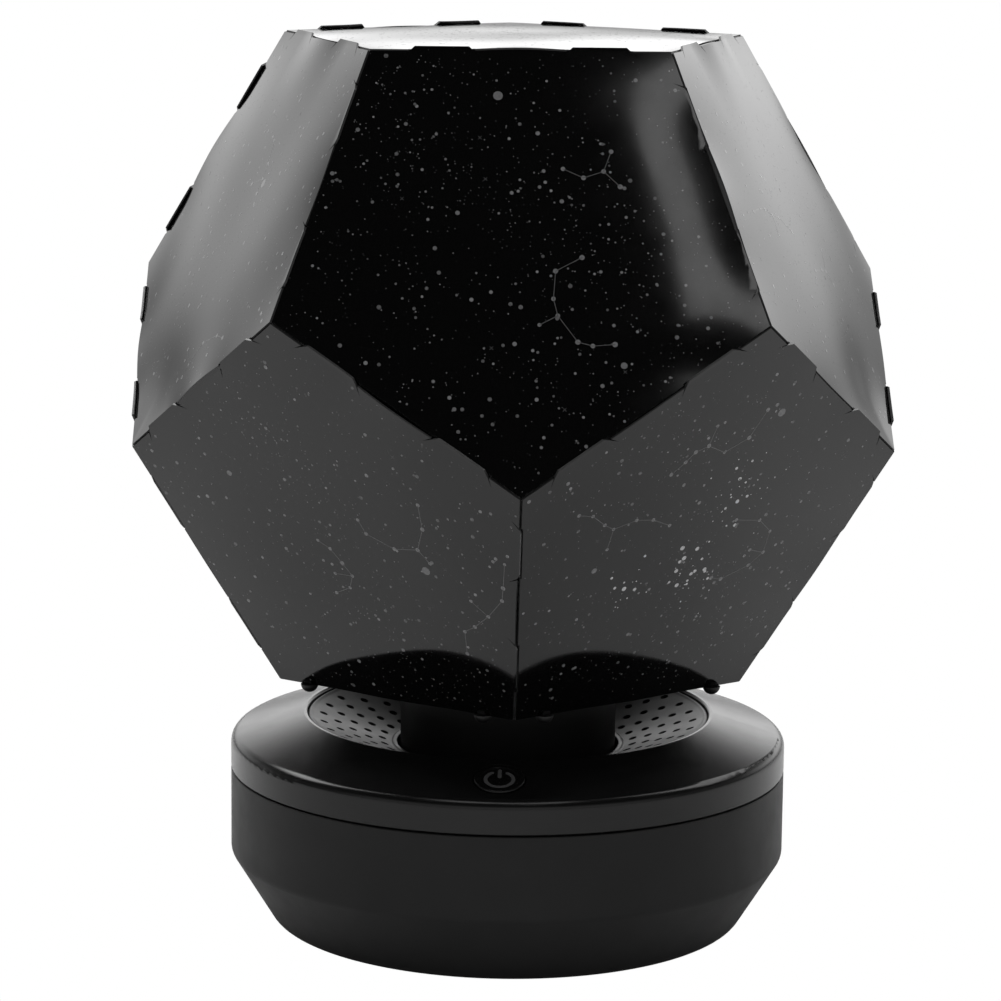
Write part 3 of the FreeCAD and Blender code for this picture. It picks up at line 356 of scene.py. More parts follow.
class Finish(Enum):
    """Every finish of the projector."""

    FILM = PrintedFilm()
    FILM_EDGE = Moulded("film_edge", grey(0.03), grey(0.05), (0.12, 0.2))
    STARS = StarPrintAndPaintedGlow()
    COVER = Moulded("satin_cover", grey(0.005), grey(0.007), (0.21, 0.27), specular=0.25,
                    skin=0.5)
    SHELL = Moulded("matt_shell", grey(0.02), grey(0.024), (0.4, 0.48), specular=0.25)
    GRILLE = Moulded("satin_grille", grey(0.013), grey(0.018), (0.28, 0.34), specular=0.17,
                     skin=0.04)
    NECK = Moulded("matt_neck", grey(0.012), grey(0.015), (0.4, 0.5), specular=0.2)
    CLIP = Moulded("clip_nylon", grey(0.004), grey(0.007), (0.35, 0.45))
    BUTTON = Moulded("button_cap", grey(0.004), grey(0.006), (0.24, 0.3))
    SYMBOL = Moulded("symbol_print", (0.085, 0.085, 0.086), (0.105, 0.105, 0.107), (0.4, 0.5))
    INNER = Moulded("inner_moulding", (0.03, 0.03, 0.031), (0.045, 0.045, 0.047), (0.45, 0.6))
    ACETAL = Moulded("natural_acetal", (0.66, 0.63, 0.56), (0.74, 0.71, 0.64), (0.35, 0.45))
    NYLON = Moulded("white_nylon", (0.74, 0.74, 0.71), (0.8, 0.8, 0.77), (0.4, 0.5))
    RUBBER = Moulded("pad_rubber", grey(0.016), grey(0.026), (0.7, 0.85), 0.4 * MM, 0.03 * MM,
                     specular=0.3)
    CHIP = Moulded("moulded_epoxy", (0.02, 0.02, 0.021), (0.03, 0.03, 0.031), (0.5, 0.6))
    SLEEVE = Moulded("battery_sleeve", (0.06, 0.15, 0.3), (0.08, 0.19, 0.36), (0.22, 0.32))
    LEAD = Moulded("lead_insulation", (0.32, 0.02, 0.015), (0.4, 0.03, 0.02), (0.35, 0.45))
    PAPER = Moulded("cone_paper", grey(0.02), grey(0.04), (0.8, 0.9), 0.12 * MM, 0.03 * MM,
                    specular=0.2)
    FERRITE = Moulded("sintered_ferrite", (0.03, 0.03, 0.033), (0.05, 0.05, 0.054), (0.5, 0.65),
                      0.1 * MM, 0.02 * MM)
    STEEL = Metal("zinc_steel", (0.62, 0.62, 0.63), (0.2, 0.32))
    PRESSED = Metal("pressed_steel", (0.5, 0.5, 0.51), (0.3, 0.42))
    BRONZE = Metal("sintered_bronze", (0.5, 0.35, 0.18), (0.35, 0.5), 0.08 * MM, 0.01 * MM)
    NICKEL = Metal("nickel_plate", (0.68, 0.66, 0.62), (0.12, 0.2))
    TUNGSTEN = Metal("filament_wire", (0.45, 0.44, 0.43), (0.3, 0.4))
    GLASS = ClearGlass("blown_glass")
    BOARD = CircuitBoard("circuit_board")

    @property
    def material(self) -> bpy.types.Material:
        """The material, made once."""
        if self.name not in MADE:
            MADE[self.name] = self.value.make()
        return MADE[self.name]


NODE_FINISH: dict[Finish, tuple[str, ...]] = {
    Finish.COVER: ("top_cover",),
    Finish.SHELL: ("lower_shell",),
    Finish.GRILLE: ("speaker_grille",),
    Finish.NECK: ("neck", "film_carrier"),
    Finish.CLIP: ("film_clips",),
    Finish.BUTTON: ("power_button",),
    Finish.INNER: ("inner_deck", "lamp_post", "lamp_socket", "switch_plunger"),
    Finish.ACETAL: ("drive_gear", "motor_pinion"),
    Finish.BRONZE: ("bearing_bush",),
    Finish.NYLON: ("thrust_washer",),
    Finish.STEEL: ("shell_screws", "motor_screws", "post_screws", "speaker_screws",
                   "key_board_screws", "board_screws", "charge_board_screws",
                   "carrier_screws", "gear_screws", "motor_shaft", "charge_socket"),
    Finish.PRESSED: ("gear_motor", "speaker_frame"),
    Finish.RUBBER: ("rubber_pad",),
    Finish.GLASS: ("bulb_glass",),
    Finish.NICKEL: ("bulb_cap",),
    Finish.LEAD: ("lamp_leads",),
    Finish.PAPER: ("speaker_cone",),
    Finish.FERRITE: ("speaker_magnet",),
    Finish.BOARD: ("main_board", "charge_board", "key_board"),
    Finish.CHIP: ("board_parts", "push_switch"),
    Finish.SLEEVE: ("battery_cell",),
}


# Mesh helpers

def put(name: str, data: bpy.types.ID) -> bpy.types.Object:
    """Puts a mesh, lamp or camera in the scene under a name."""
    made = bpy.data.objects.new(name, data)
    bpy.context.scene.collection.objects.link(made)
    return made


def put_piece(mesh: bpy.types.Mesh, smooth: bool, body: str, slot: str,
              *finishes: Finish) -> bpy.types.Object:
    """Puts a mesh in the scene, where it rides on a body.

    Args:
        mesh: the piece's mesh, with its name.
        smooth: whether its shading is smooth.
        body: the body it moves with.
        slot: the record's material slot; not used.
        finishes: its looks.

    Returns:
        The new piece.
    """
    mesh.polygons.foreach_set("use_smooth", np.full(len(mesh.polygons), smooth))
    for finish in finishes:
        mesh.materials.append(finish.material)
    piece = put(mesh.name, mesh)
    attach(piece, body)
    LOG.info("%s: %d faces", mesh.name, len(mesh.polygons))
    return piece


def new_mesh(name: str, points: np.ndarray, faces: Faces) -> bpy.types.Mesh:
    """A checked mesh.

    Args:
        name: the mesh's name.
        points: vertices, one row each.
        faces: corner numbers of each face.

    Returns:
        The new mesh.
    """
    mesh = bpy.data.meshes.new(name)
    mesh.from_pydata(points.reshape(-1, 3).tolist(), [], faces)
    mesh.validate()
    return mesh


def read_vectors(rows: Rows, key: str) -> np.ndarray:
    """A place or direction of every vertex or face, one row each."""
    values = np.empty(len(rows) * 3)
    rows.foreach_get(key, values)
    return values.reshape(-1, 3)


def read_numbers(rows: Rows, key: str) -> np.ndarray:
    """A whole number of every face or corner."""
    values = np.empty(len(rows), int)
    rows.foreach_get(key, values)
    return values


def ribbon_faces(count: int, rings: int, sides: int) -> Faces:
    """Faces of several closed tubes of rings, with flat ends.

    Args:
        count: how many tubes.
        rings: rings along each.
        sides: points round each ring.

    Returns:
        Corner numbers, quads round the sides and one face at each end.
    """
    ring = np.arange(rings - 1)[:, None] * sides
    side = np.arange(sides)[None, :]
    after = (side + 1) % sides
    quads = np.stack([ring + side, ring + after, ring + sides + after, ring + sides + side], -1)
    quads = quads.reshape(-1, 4)
    step = (np.arange(count) * rings * sides)[:, None, None]
    first = np.arange(sides)[::-1][None, :] + step[:, :, 0]
    last = np.arange(sides)[None, :] + (rings - 1) * sides + step[:, :, 0]
    return (quads[None] + step).reshape(-1, 4).tolist() + first.tolist() + last.tolist()


def unit_runs(path: np.ndarray) -> np.ndarray:
    """A path's direction at each of its points, one unit long."""
    run = np.gradient(path, axis=0)
    return run / np.linalg.norm(run, axis=1, keepdims=True)


# Star dome

@dataclass(frozen=True)
class FilmShape:
    """How far a panel's film leaves its plane: middle, waves, edges and one dent."""

    bow: float
    ripple: float
    bulge: float
    dent: float = 0.0


@dataclass(frozen=True)
class Panel:
    """One film panel: its node, its frame on the dome and its film."""

    node: str
    azimuth: float
    normal_up: float
    corner_up: float
    seed: int
    film: FilmShape


@dataclass
class FilmDome:
    """The eleven film panels of the twelve-sided dome."""

    edge: float = 65 * MM
    carrier_lift: float = 0.3 * MM
    turn: float = math.radians(3.2)
    tilt: float = math.atan(0.5)
    usual: FilmShape = FilmShape(0.9 * MM, 0.16 * MM, 0.45 * MM)
    front: FilmShape = FilmShape(0.5 * MM, 0.03 * MM, 0.03 * MM)
    side: FilmShape = FilmShape(1.5 * MM, 0.3 * MM, 0.8 * MM, 0.9 * MM)
    wave_across: float = 70.0
    wave_upward: float = 75.0
    wave_change: float = 25.0
    wave_skew: float = 40.0
    wave_shift: float = 3.0
    bulge_depth: float = 8 * MM
    bulge_start: float = 0.4
    dent_spread: float = 9 * MM
    dent_place: float = 43 * MM
    dent_to_seam: float = 5 * MM
    slope_step: float = 0.05 * MM
    tab_from_corner: float = 15.6 * MM
    tab_spring: float = 0.08
    tab_depth: float = 0.6 * MM
    cuts: int = 46
    cut_reach: float = 1.3
    cut_tolerance: float = 1e-7
    weld_distance: float = 1e-6
    broad_facing: float = 0.999
    edge_facing: float = 0.2

    def __post_init__(self) -> None:
        """Works out the panel's size and the dome's centre."""
        self.apothem = self.edge / (2 * math.tan(math.radians(36)))
        self.inscribed = self.edge * GOLDEN ** 2 / (2 * math.sqrt(3 - GOLDEN))
        self.outward = np.radians(126 + 72 * np.arange(5))
        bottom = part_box("film_carrier")[0].z - self.carrier_lift
        self.centre = np.array([0.0, 0.0, bottom + self.inscribed])

    def panels(self) -> list[Panel]:
        """The top panel, then the upper and lower panels in turn round the dome."""
        quarter = math.pi / 2
        fifth = math.radians(72)
        listed = [Panel("film_top", self.turn + math.pi, quarter, 0.0, 11, self.usual)]
        for k in range(5):
            faced = self.turn + fifth * k
            film = self.side if k else self.front
            listed.append(Panel(f"film_upper_{k + 1}", faced, self.tilt, self.tilt - quarter,
                                20 + k, film))
            listed.append(Panel(f"film_lower_{k + 1}", faced + fifth / 2, -self.tilt,
                                quarter - self.tilt, 40 + k, self.usual))
        return listed

    def axes(self, panel: Panel) -> tuple[np.ndarray, np.ndarray]:
        """A panel's frame.

        Args:
            panel: the panel.

        Returns:
            A 3 by 3 array whose columns are across, corner and normal, and the
            middle of the outer face.
        """
        away = np.array([math.sin(panel.azimuth), -math.cos(panel.azimuth), 0.0])
        up = np.array([0.0, 0.0, 1.0])
        normal = away * math.cos(panel.normal_up) + up * math.sin(panel.normal_up)
        corner = away * math.cos(panel.corner_up) + up * math.sin(panel.corner_up)
        turned = np.stack([np.cross(corner, normal), corner, normal], 1)
        return turned, self.centre + normal * self.inscribed

    def reach(self, x: np.ndarray, y: np.ndarray) -> np.ndarray:
        """Distance inside each of the five edges, as a share of the apothem."""
        across = np.multiply.outer(x, np.cos(self.outward))
        across += np.multiply.outer(y, np.sin(self.outward))
        return 1 - across / self.apothem

    def inside(self, points: np.ndarray, margin: float) -> np.ndarray:
        """Whether each point is at least a margin inside the panel's edges."""
        return self.reach(points[:, 0], points[:, 1]).min(-1) * self.apothem > margin

    def lift(self, x: np.ndarray, y: np.ndarray, panel: Panel) -> np.ndarray:
        """How far the film stands out of its plane.

        With p the product of the five edge distances, 1 in the middle and 0 on
        each seam, the bow is bow * (1 - (1 - p)^2), plus two long waves times p.
        Between the two tabs of each edge, the film bulges by its own share of
        bulge * cos^2 along the edge, which fades away from the edge. A bell-shaped
        dent near the first corner fades towards the seams.

        Args:
            x: places across the panel.
            y: places towards its first corner.
            panel: the panel, whose seed chooses the waves.

        Returns:
            The height at each place.
        """
        inside = np.clip(self.reach(x, y), 0, None)
        p = np.clip(np.prod(inside, axis=-1), 0, 1)
        draw = np.random.default_rng(panel.seed).uniform(-1, 1, 11)
        wave = np.sin(x * (self.wave_across + self.wave_change * draw[0])
                      + self.wave_shift * draw[1] + y * self.wave_skew * draw[2])
        wave += np.sin(y * (self.wave_upward + self.wave_change * draw[3])
                       + self.wave_shift * draw[4] - x * self.wave_skew * draw[5])
        along = np.multiply.outer(y, np.cos(self.outward))
        along -= np.multiply.outer(x, np.sin(self.outward))
        hold = self.edge / 2 - self.tab_from_corner
        shape = np.cos(np.clip(along / hold, -1, 1) * math.pi / 2) ** 2
        fade = np.exp(-inside * self.apothem / self.bulge_depth)
        bulge = (shape * fade * (self.bulge_start + draw[6:])).sum(-1) * panel.film.bulge
        apart = (x ** 2 + (y - self.dent_place) ** 2) / (2 * self.dent_spread ** 2)
        near_seam = np.exp(-inside.min(-1) * self.apothem / self.dent_to_seam)
        dent = panel.film.dent * np.exp(-apart) * (1 - near_seam)
        return panel.film.bow * (1 - (1 - p) ** 2) + panel.film.ripple * wave * p + bulge - dent

    def slope(self, x: np.ndarray, y: np.ndarray, panel: Panel) -> np.ndarray:
        """Unit normals of the bowed film, from the height's central differences."""
        step = self.slope_step
        across = (self.lift(x + step, y, panel) - self.lift(x - step, y, panel)) / (2 * step)
        upward = (self.lift(x, y + step, panel) - self.lift(x, y - step, panel)) / (2 * step)
        normal = np.stack([-across, -upward, np.ones_like(across)], -1)
        return normal / np.linalg.norm(normal, axis=-1, keepdims=True)

    def cut_sheet(self, panel: Panel, turned: np.ndarray, middle: np.ndarray) -> bpy.types.Mesh:
        """The flat panel in its own frame, cut by two sets of planes across its face.

        Args:
            panel: the panel.
            turned: the panel's axes.
            middle: the middle of its outer face.

        Returns:
            The cut mesh, still flat and closed.
        """
        sheet = bmesh.new()
        sheet.from_mesh(frame["nodes"][panel.node].data)
        bmesh.ops.remove_doubles(sheet, verts=sheet.verts, dist=self.weld_distance)
        away = Matrix(np.vstack([np.column_stack([turned, middle]), [0, 0, 0, 1]]).tolist())
        sheet.transform(away.inverted())
        span = self.apothem * self.cut_reach
        for axis in (Vector((1, 0, 0)), Vector((0, 1, 0))):
            for shift in np.linspace(-span, span, self.cuts):
                everything = sheet.verts[:] + sheet.edges[:] + sheet.faces[:]
                bmesh.ops.bisect_plane(sheet, geom=everything, plane_co=axis * shift,
                                       plane_no=axis, dist=self.cut_tolerance)
        mesh = bpy.data.meshes.new("film_sheet" + panel.node[4:])
        sheet.to_mesh(mesh)
        sheet.free()
        return mesh

    def bend(self, panel: Panel) -> bpy.types.Object:
        """A bowed copy of one flat panel.

        Every point of the cut sheet moves along the panel's normal by lift(x, y),
        and the tabs spring out a little in proportion to how far they pass the seam.

        Args:
            panel: the panel.

        Returns:
            The finished piece, which stands for the panel's node.
        """
        turned, middle = self.axes(panel)
        mesh = self.cut_sheet(panel, turned, middle)
        points = read_vectors(mesh.vertices, "co")
        x, y = points[:, 0], points[:, 1]
        beyond = np.clip(-self.reach(x, y).min(-1), 0, None) * self.apothem
        sprung = (points[:, 2] > -self.tab_depth) * beyond * self.tab_spring
        normals, flat = self.split_normals(mesh, points, panel)
        points[:, 2] += self.lift(x, y, panel) + sprung
        points = points @ turned.T + middle
        mesh.vertices.foreach_set("co", points.ravel())
        piece = put_piece(mesh, True, "dome", "black_film", Finish.FILM, Finish.FILM_EDGE)
        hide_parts(panel.node)
        cut_edge = (np.abs(flat[:, 2]) < self.edge_facing).astype(int)
        mesh.polygons.foreach_set("material_index", cut_edge)
        mesh.update()
        mesh.normals_split_custom_set((normals @ turned.T).tolist())
        return piece

    def split_normals(self, mesh: bpy.types.Mesh, points: np.ndarray,
                      panel: Panel) -> tuple[np.ndarray, np.ndarray]:
        """Normals of every face corner in the panel's own frame.

        Args:
            mesh: the flat cut panel.
            points: its vertices.
            panel: the panel.

        Returns:
            Corner normals, which follow the bowed film on the two broad faces, and
            each face's own flat normal.
        """
        flat = read_vectors(mesh.polygons, "normal")
        corners = read_numbers(mesh.loops, "vertex_index")
        owner = np.repeat(np.arange(len(flat)), read_numbers(mesh.polygons, "loop_total"))
        bowed = self.slope(points[corners, 0], points[corners, 1], panel)
        facing = flat[owner][:, 2]
        broad = np.abs(facing) > self.broad_facing
        return np.where(broad[:, None], bowed * np.sign(facing)[:, None], flat[owner]), flat

    def build(self) -> None:
        """Makes every panel and its map."""
        for panel in self.panels():
            self.bend(panel)
            StarMap(self, panel).build()


# Star map

@dataclass(frozen=True)
class Swarm:
    """A loose bell-shaped group of pinholes."""

    middle: tuple[float, float]
    spread: float
    count: int


class Dots(NamedTuple):
    """Round prints and pinholes with painted glow: their middles, radii and brightness."""

    places: np.ndarray
    radii: np.ndarray
    glows: np.ndarray


@dataclass
class StarMap:
    """The printed map of one panel: dust, stars, stick figures and sparks."""

    dome: FilmDome
    panel: Panel
    thickness: float = 0.006 * MM
    gap: float = 0.007 * MM
    disc_sides: int = 10
    line_rings: int = 7
    scatter_reach: float = 1.25
    scatter_tries: int = 4
    scatter_spare: int = 40
    dust: int = 700
    dust_margin: float = 1.2 * MM
    stream: int = 260
    stream_spread: float = 9 * MM
    stream_shift: float = 12 * MM
    stream_margin: float = 1.5 * MM
    stream_scale: float = 0.7
    star_radius: Limits = (0.1 * MM, 0.5 * MM)
    star_power: float = 0.24
    star_glow: Limits = (0.12, 0.36)
    star_glow_power: float = 1.5
    figure_count: tuple[int, int] = (2, 4)
    figure_stars: tuple[int, int] = (5, 9)
    figure_tries: int = 200
    figure_margin: float = 9 * MM
    figure_gap: float = 8 * MM
    figure_bend: float = 1.0
    figure_step: Limits = (3.0 * MM, 7.5 * MM)
    figure_branch: Limits = (3.5 * MM, 6 * MM)
    figure_radius: Limits = (0.4 * MM, 0.6 * MM)
    figure_star_margin: float = 3 * MM
    figure_star_gap: float = 2.5 * MM
    figure_glow: float = 0.27
    far_away: float = 1.0
    line_width: float = 0.16 * MM
    line_glow: float = 0.13
    big_radii: Limits = (1.05 * MM, 0.72 * MM)
    big_margin: float = 6 * MM
    big_glow: float = 0.24
    # Pinholes on one panel painted at full brightness: painted light standing for light shining
    # through the film.
    painted_glow_node: str = "film_lower_1"
    painted_glow_radius: Limits = (0.14 * MM, 0.64 * MM)
    painted_glow_power: float = 0.25
    painted_glow_margin: float = 2 * MM
    painted_glow_swarms: tuple[Swarm, ...] = (
        Swarm((9 * MM, 12 * MM), 4.5 * MM, 34),
        Swarm((2 * MM, -9 * MM), 4.0 * MM, 34),
        Swarm((-15 * MM, -12 * MM), 3.2 * MM, 16),
    )
    sparks: int = 7
    spark_arm: float = 0.36 * MM
    spark_margin: float = 3 * MM
    spark_width: float = 0.1 * MM
    spark_glow: float = 0.1

    def __post_init__(self) -> None:
        """Starts the map's own random numbers."""
        self.draw = np.random.default_rng(self.panel.seed * 7 + 5)

    def powered(self, limits: Limits, power: float, count: int) -> np.ndarray:
        """Random numbers within limits, most of them near the lower one."""
        return limits[0] + (limits[1] - limits[0]) * self.draw.power(power, count)

    def scatter(self, count: int, margin: float) -> np.ndarray:
        """Random places on the panel.

        Args:
            count: how many places.
            margin: least distance from the edges.

        Returns:
            The places, one row each.
        """
        size = self.dome.apothem * self.scatter_reach
        tries = count * self.scatter_tries + self.scatter_spare
        points = self.draw.uniform(-size, size, (tries, 2))
        return points[self.dome.inside(points, margin)][:count]

    def star_stream(self) -> np.ndarray:
        """Places along a loose band, as a star stream has, thinner towards its sides."""
        tries = self.stream * 2
        heading = self.draw.uniform(0, math.pi)
        along = self.draw.uniform(-1, 1, tries) * self.dome.apothem
        aside = self.draw.normal(0, self.stream_spread, tries)
        shift = self.draw.uniform(-self.stream_shift, self.stream_shift, 2)
        run = np.array([math.cos(heading), math.sin(heading)])
        side = np.array([-run[1], run[0]])
        points = shift + np.outer(along, run) + np.outer(aside, side)
        return points[self.dome.inside(points, self.stream_margin)][:self.stream]

    def small_stars(self) -> Dots:
        """The dust all over the panel and the stream across it."""
        dust = self.scatter(self.dust, self.dust_margin)
        places = np.vstack([dust, self.star_stream()])
        radii = self.powered(self.star_radius, self.star_power, len(places))
        radii[len(dust):] *= self.stream_scale
        low, high = self.star_glow
        glows = low + (high - low) * self.draw.random(len(places)) ** self.star_glow_power
        return Dots(places, radii, glows)

    def figure(self, stars: int, others: np.ndarray) -> tuple[np.ndarray, Faces]:
        """A made-up stick figure: a winding chain of stars with one side branch.

        Args:
            stars: how many stars it has.
            others: stars of earlier figures, which it keeps clear of.

        Returns:
            The stars' places and the pairs that lines join.
        """
        draw = self.draw
        fork = stars // 2 - 1
        for _ in range(self.figure_tries):
            start = self.scatter(1, self.figure_margin)
            turns = np.cumsum(draw.uniform(-self.figure_bend, self.figure_bend, stars))
            turns += draw.uniform(0, 2 * math.pi)
            steps = draw.uniform(*self.figure_step, stars)[:, None]
            chain = start + np.cumsum(np.stack([np.cos(turns), np.sin(turns)], 1) * steps, 0)
            run = chain[fork + 1] - chain[fork - 1]
            aside = np.array([-run[1], run[0]]) / np.linalg.norm(run)
            chain[-1] = chain[fork] + aside * draw.uniform(*self.figure_branch)
            gaps = np.linalg.norm(chain[:, None] - chain[None], axis=-1) + np.eye(stars)
            apart = np.linalg.norm(chain[:, None] - others[None], axis=-1)
            held = self.dome.inside(chain, self.figure_star_margin).all()
            if held and gaps.min() > self.figure_star_gap and apart.min() > self.figure_gap:
                break
        pairs = [[k, k + 1] for k in range(stars - 2)]
        return chain, pairs + [[fork, stars - 1]]

    def figures(self) -> tuple[list[Dots], np.ndarray, np.ndarray]:
        """Two or three stick figures of five to eight stars.

        Returns:
            Their stars, and the starts and the ends of their lines.
        """
        stars, starts, ends = [], [], []
        known = np.full((1, 2), self.far_away)
        figures = self.draw.integers(*self.figure_count)
        for count in self.draw.integers(*self.figure_stars, figures):
            chain, pairs = self.figure(int(count), known)
            known = np.vstack([known, chain])
            radii = self.draw.uniform(*self.figure_radius, count)
            stars.append(Dots(chain, radii, np.full(count, self.figure_glow)))
            starts.append(chain[[first for first, last in pairs]])
            ends.append(chain[[last for first, last in pairs]])
        return stars, np.vstack(starts), np.vstack(ends)

    def big_stars(self) -> Dots:
        """The two largest stars."""
        places = self.scatter(len(self.big_radii), self.big_margin)
        return Dots(places, np.array(self.big_radii)[:len(places)],
                    np.full(len(places), self.big_glow))

    def painted_glow_holes(self) -> Dots:
        """Pinholes in loose swarms, painted at full brightness: painted light that stands for
        light shining through them.
        """
        swarms = [np.array(swarm.middle) + self.draw.normal(0, swarm.spread, (swarm.count, 2))
                  for swarm in self.painted_glow_swarms]
        places = np.vstack(swarms)
        places = places[self.dome.inside(places, self.painted_glow_margin)]
        radii = self.powered(self.painted_glow_radius, self.painted_glow_power, len(places))
        # Full brightness here is painted light shining through the pinholes.
        return Dots(places, radii, np.ones(len(places)))

    def raised(self, flat: np.ndarray, share: float) -> np.ndarray:
        """Points over the film, up in the print by a share of its thickness."""
        z = self.dome.lift(flat[..., 0], flat[..., 1], self.panel) + self.gap
        return np.dstack([flat, z + share * self.thickness])

    def discs(self, dots: Dots) -> tuple[np.ndarray, Faces]:
        """Thin round prints that follow the film.

        Each disc is two rings of points at radius r round its place, the lower one
        a gap over the film and the upper one the print's thickness above that.

        Args:
            dots: the discs' places and radii.

        Returns:
            Points in the panel's frame and the faces.
        """
        around = np.arange(self.disc_sides) * 2 * math.pi / self.disc_sides
        circle = np.stack([np.cos(around), np.sin(around)], -1)
        flat = dots.places[:, None, :] + dots.radii[:, None, None] * circle[None]
        points = np.stack([self.raised(flat, share) for share in (0.0, 1.0)], 1)
        return points.reshape(-1, 3), ribbon_faces(len(flat), 2, self.disc_sides)

    def lines(self, starts: np.ndarray, ends: np.ndarray,
              width: float) -> tuple[np.ndarray, Faces]:
        """Thin straight prints that follow the film.

        Each line is a chain of four-cornered rings between its two ends, width wide
        and as high as the print is thick.

        Args:
            starts: first ends.
            ends: second ends.
            width: the line's width.

        Returns:
            Points in the panel's frame and the faces.
        """
        share = np.linspace(0, 1, self.line_rings)[None, :, None]
        spine = starts[:, None] * (1 - share) + ends[:, None] * share
        run = (ends - starts) / np.linalg.norm(ends - starts, axis=1, keepdims=True)
        side = np.stack([-run[:, 1], run[:, 0]], -1)[:, None] * width / 2
        left, right = spine - side, spine + side
        corners = ((left, 0.0), (right, 0.0), (right, 1.0), (left, 1.0))
        points = np.stack([self.raised(flat, share) for flat, share in corners], 2)
        return points.reshape(-1, 3), ribbon_faces(len(starts), self.line_rings, 4)

    def crosses(self) -> tuple[np.ndarray, Faces]:
        """Sparks: small crosses of two slanted lines each."""
        middles = self.scatter(self.sparks, self.spark_margin)[:, None]
        arms = np.array([[1.0, 1.0], [1.0, -1.0]])[None] * self.spark_arm
        return self.lines((middles - arms).reshape(-1, 2), (middles + arms).reshape(-1, 2),
                          self.spark_width)

    def build(self) -> bpy.types.Object:
        """Draws everything in one piece, which keeps each print's brightness and the painted light
        of the glowing pinholes.

        Returns:
            The finished piece.
        """
        groups = [self.small_stars()]
        stars, starts, ends = self.figures()
        groups += stars + [self.big_stars()]
        # Only this panel gets the pinholes painted with light shining through them.
        if self.panel.node == self.painted_glow_node:
            groups.append(self.painted_glow_holes())
        dots = Dots(*(np.concatenate(part) for part in zip(*groups)))
        prints = [self.discs(dots), self.lines(starts, ends, self.line_width), self.crosses()]
        faces = []
        before = 0
        for points, made in prints:
            faces += [[corner + before for corner in face] for face in made]
            before += len(points)
        turned, middle = self.dome.axes(self.panel)
        points = np.vstack([points for points, made in prints]) @ turned.T + middle
        mesh = new_mesh("star_map" + self.panel.node[4:], points, faces)
        shine = np.concatenate([np.repeat(dots.glows, 2 * self.disc_sides),
                                np.full(len(prints[1][0]), self.line_glow),
                                np.full(len(prints[2][0]), self.spark_glow)])
        attribute = mesh.attributes.new("brightness", "FLOAT", "POINT")
        attribute.data.foreach_set("value", shine.astype(np.float32))
        return put_piece(mesh, False, "dome", "black_film", Finish.STARS)


# Power button

@dataclass
class PowerSymbol:
    """The printed on-off symbol on the button: an open ring and a bar."""

    ring_radius: float = 3.05 * MM
    ring_points: int = 72
    stroke: float = 0.85 * MM
    opening: float = math.radians(33)
    bar_top: float = 3.6 * MM
    bar_foot: float = 0.9 * MM
    bar_points: int = 8
    dish: float = 0.25 * MM
    drop: float = 0.3 * MM
    rim_depth: float = 0.3 * MM
    thickness: float = 0.03 * MM
    end_rings: int = 5
    least_width: float = 0.02 * MM

    def frame_of_button(self) -> tuple[np.ndarray, np.ndarray]:
        """The button face's axes and middle, from its joint and its node.

        Returns:
            A 3 by 3 array with columns right, up the slope and outwards, and the
            point in the middle of the dished face.
        """
        joint = next(j for j in frame["joints"] if j["name"] == "button_press")
        normal = -np.array(joint["axis"])
        right = np.array([1.0, 0.0, 0.0])
        slope_up = np.cross(normal, right)
        turned = np.stack([right, slope_up, normal], 1)
        points = np.array([v.co for v in frame["nodes"]["power_button"].data.vertices])
        local = points @ turned
        top = local[:, 2].max()
        rim = local[local[:, 2] > top - self.rim_depth]
        middle = (rim.min(0) + rim.max(0)) / 2
        middle[1] -= self.drop
        middle[2] = top - self.dish
        return turned, turned @ middle

    def band(self, path: np.ndarray, name: str) -> bpy.types.Object:
        """A flat print with round ends along a path.

        Rings of four corners follow the path, stroke wide, and the last rings at
        each end shrink on a circle of half the stroke.

        Args:
            path: points in the face's plane.
            name: the piece's name.

        Returns:
            The finished piece.
        """
        run = unit_runs(path)
        turn = np.linspace(0, math.pi / 2, self.end_rings + 1)[:-1]
        half = self.stroke / 2
        head = path[0] - run[0] * (np.cos(turn) * half)[:, None]
        tail = path[-1] + run[-1] * (np.cos(turn[::-1]) * half)[:, None]
        spine = np.vstack([head, path, tail])
        runs = np.vstack([np.repeat(run[:1], self.end_rings, 0), run,
                          np.repeat(run[-1:], self.end_rings, 0)])
        width = np.concatenate([np.sin(turn), np.ones(len(path)), np.sin(turn[::-1])]) * half
        width = np.maximum(width, self.least_width)
        side = np.stack([-runs[:, 1], runs[:, 0]], -1) * width[:, None]
        rings = []
        for sign, z in ((-1, 0.0), (1, 0.0), (1, self.thickness), (-1, self.thickness)):
            rings.append(np.column_stack([spine + side * sign, np.full(len(spine), z)]))
        points = np.stack(rings, 1).reshape(-1, 3)
        turned, middle = self.frame_of_button()
        mesh = new_mesh(name, points @ turned.T + middle, ribbon_faces(1, len(spine), 4))
        return put_piece(mesh, False, "button", "button_plastic", Finish.SYMBOL)

    def build(self) -> None:
        """Makes the ring and the bar."""
        sweep = np.linspace(math.pi / 2 + self.opening, math.pi * 2.5 - self.opening,
                            self.ring_points)
        ring = np.stack([np.cos(sweep), np.sin(sweep)], -1) * self.ring_radius
        self.band(ring, "power_symbol_ring")
        height = np.linspace(self.bar_foot, self.bar_top, self.bar_points)
        self.band(np.stack([np.zeros_like(height), height], -1), "power_symbol_bar")


# Lamp

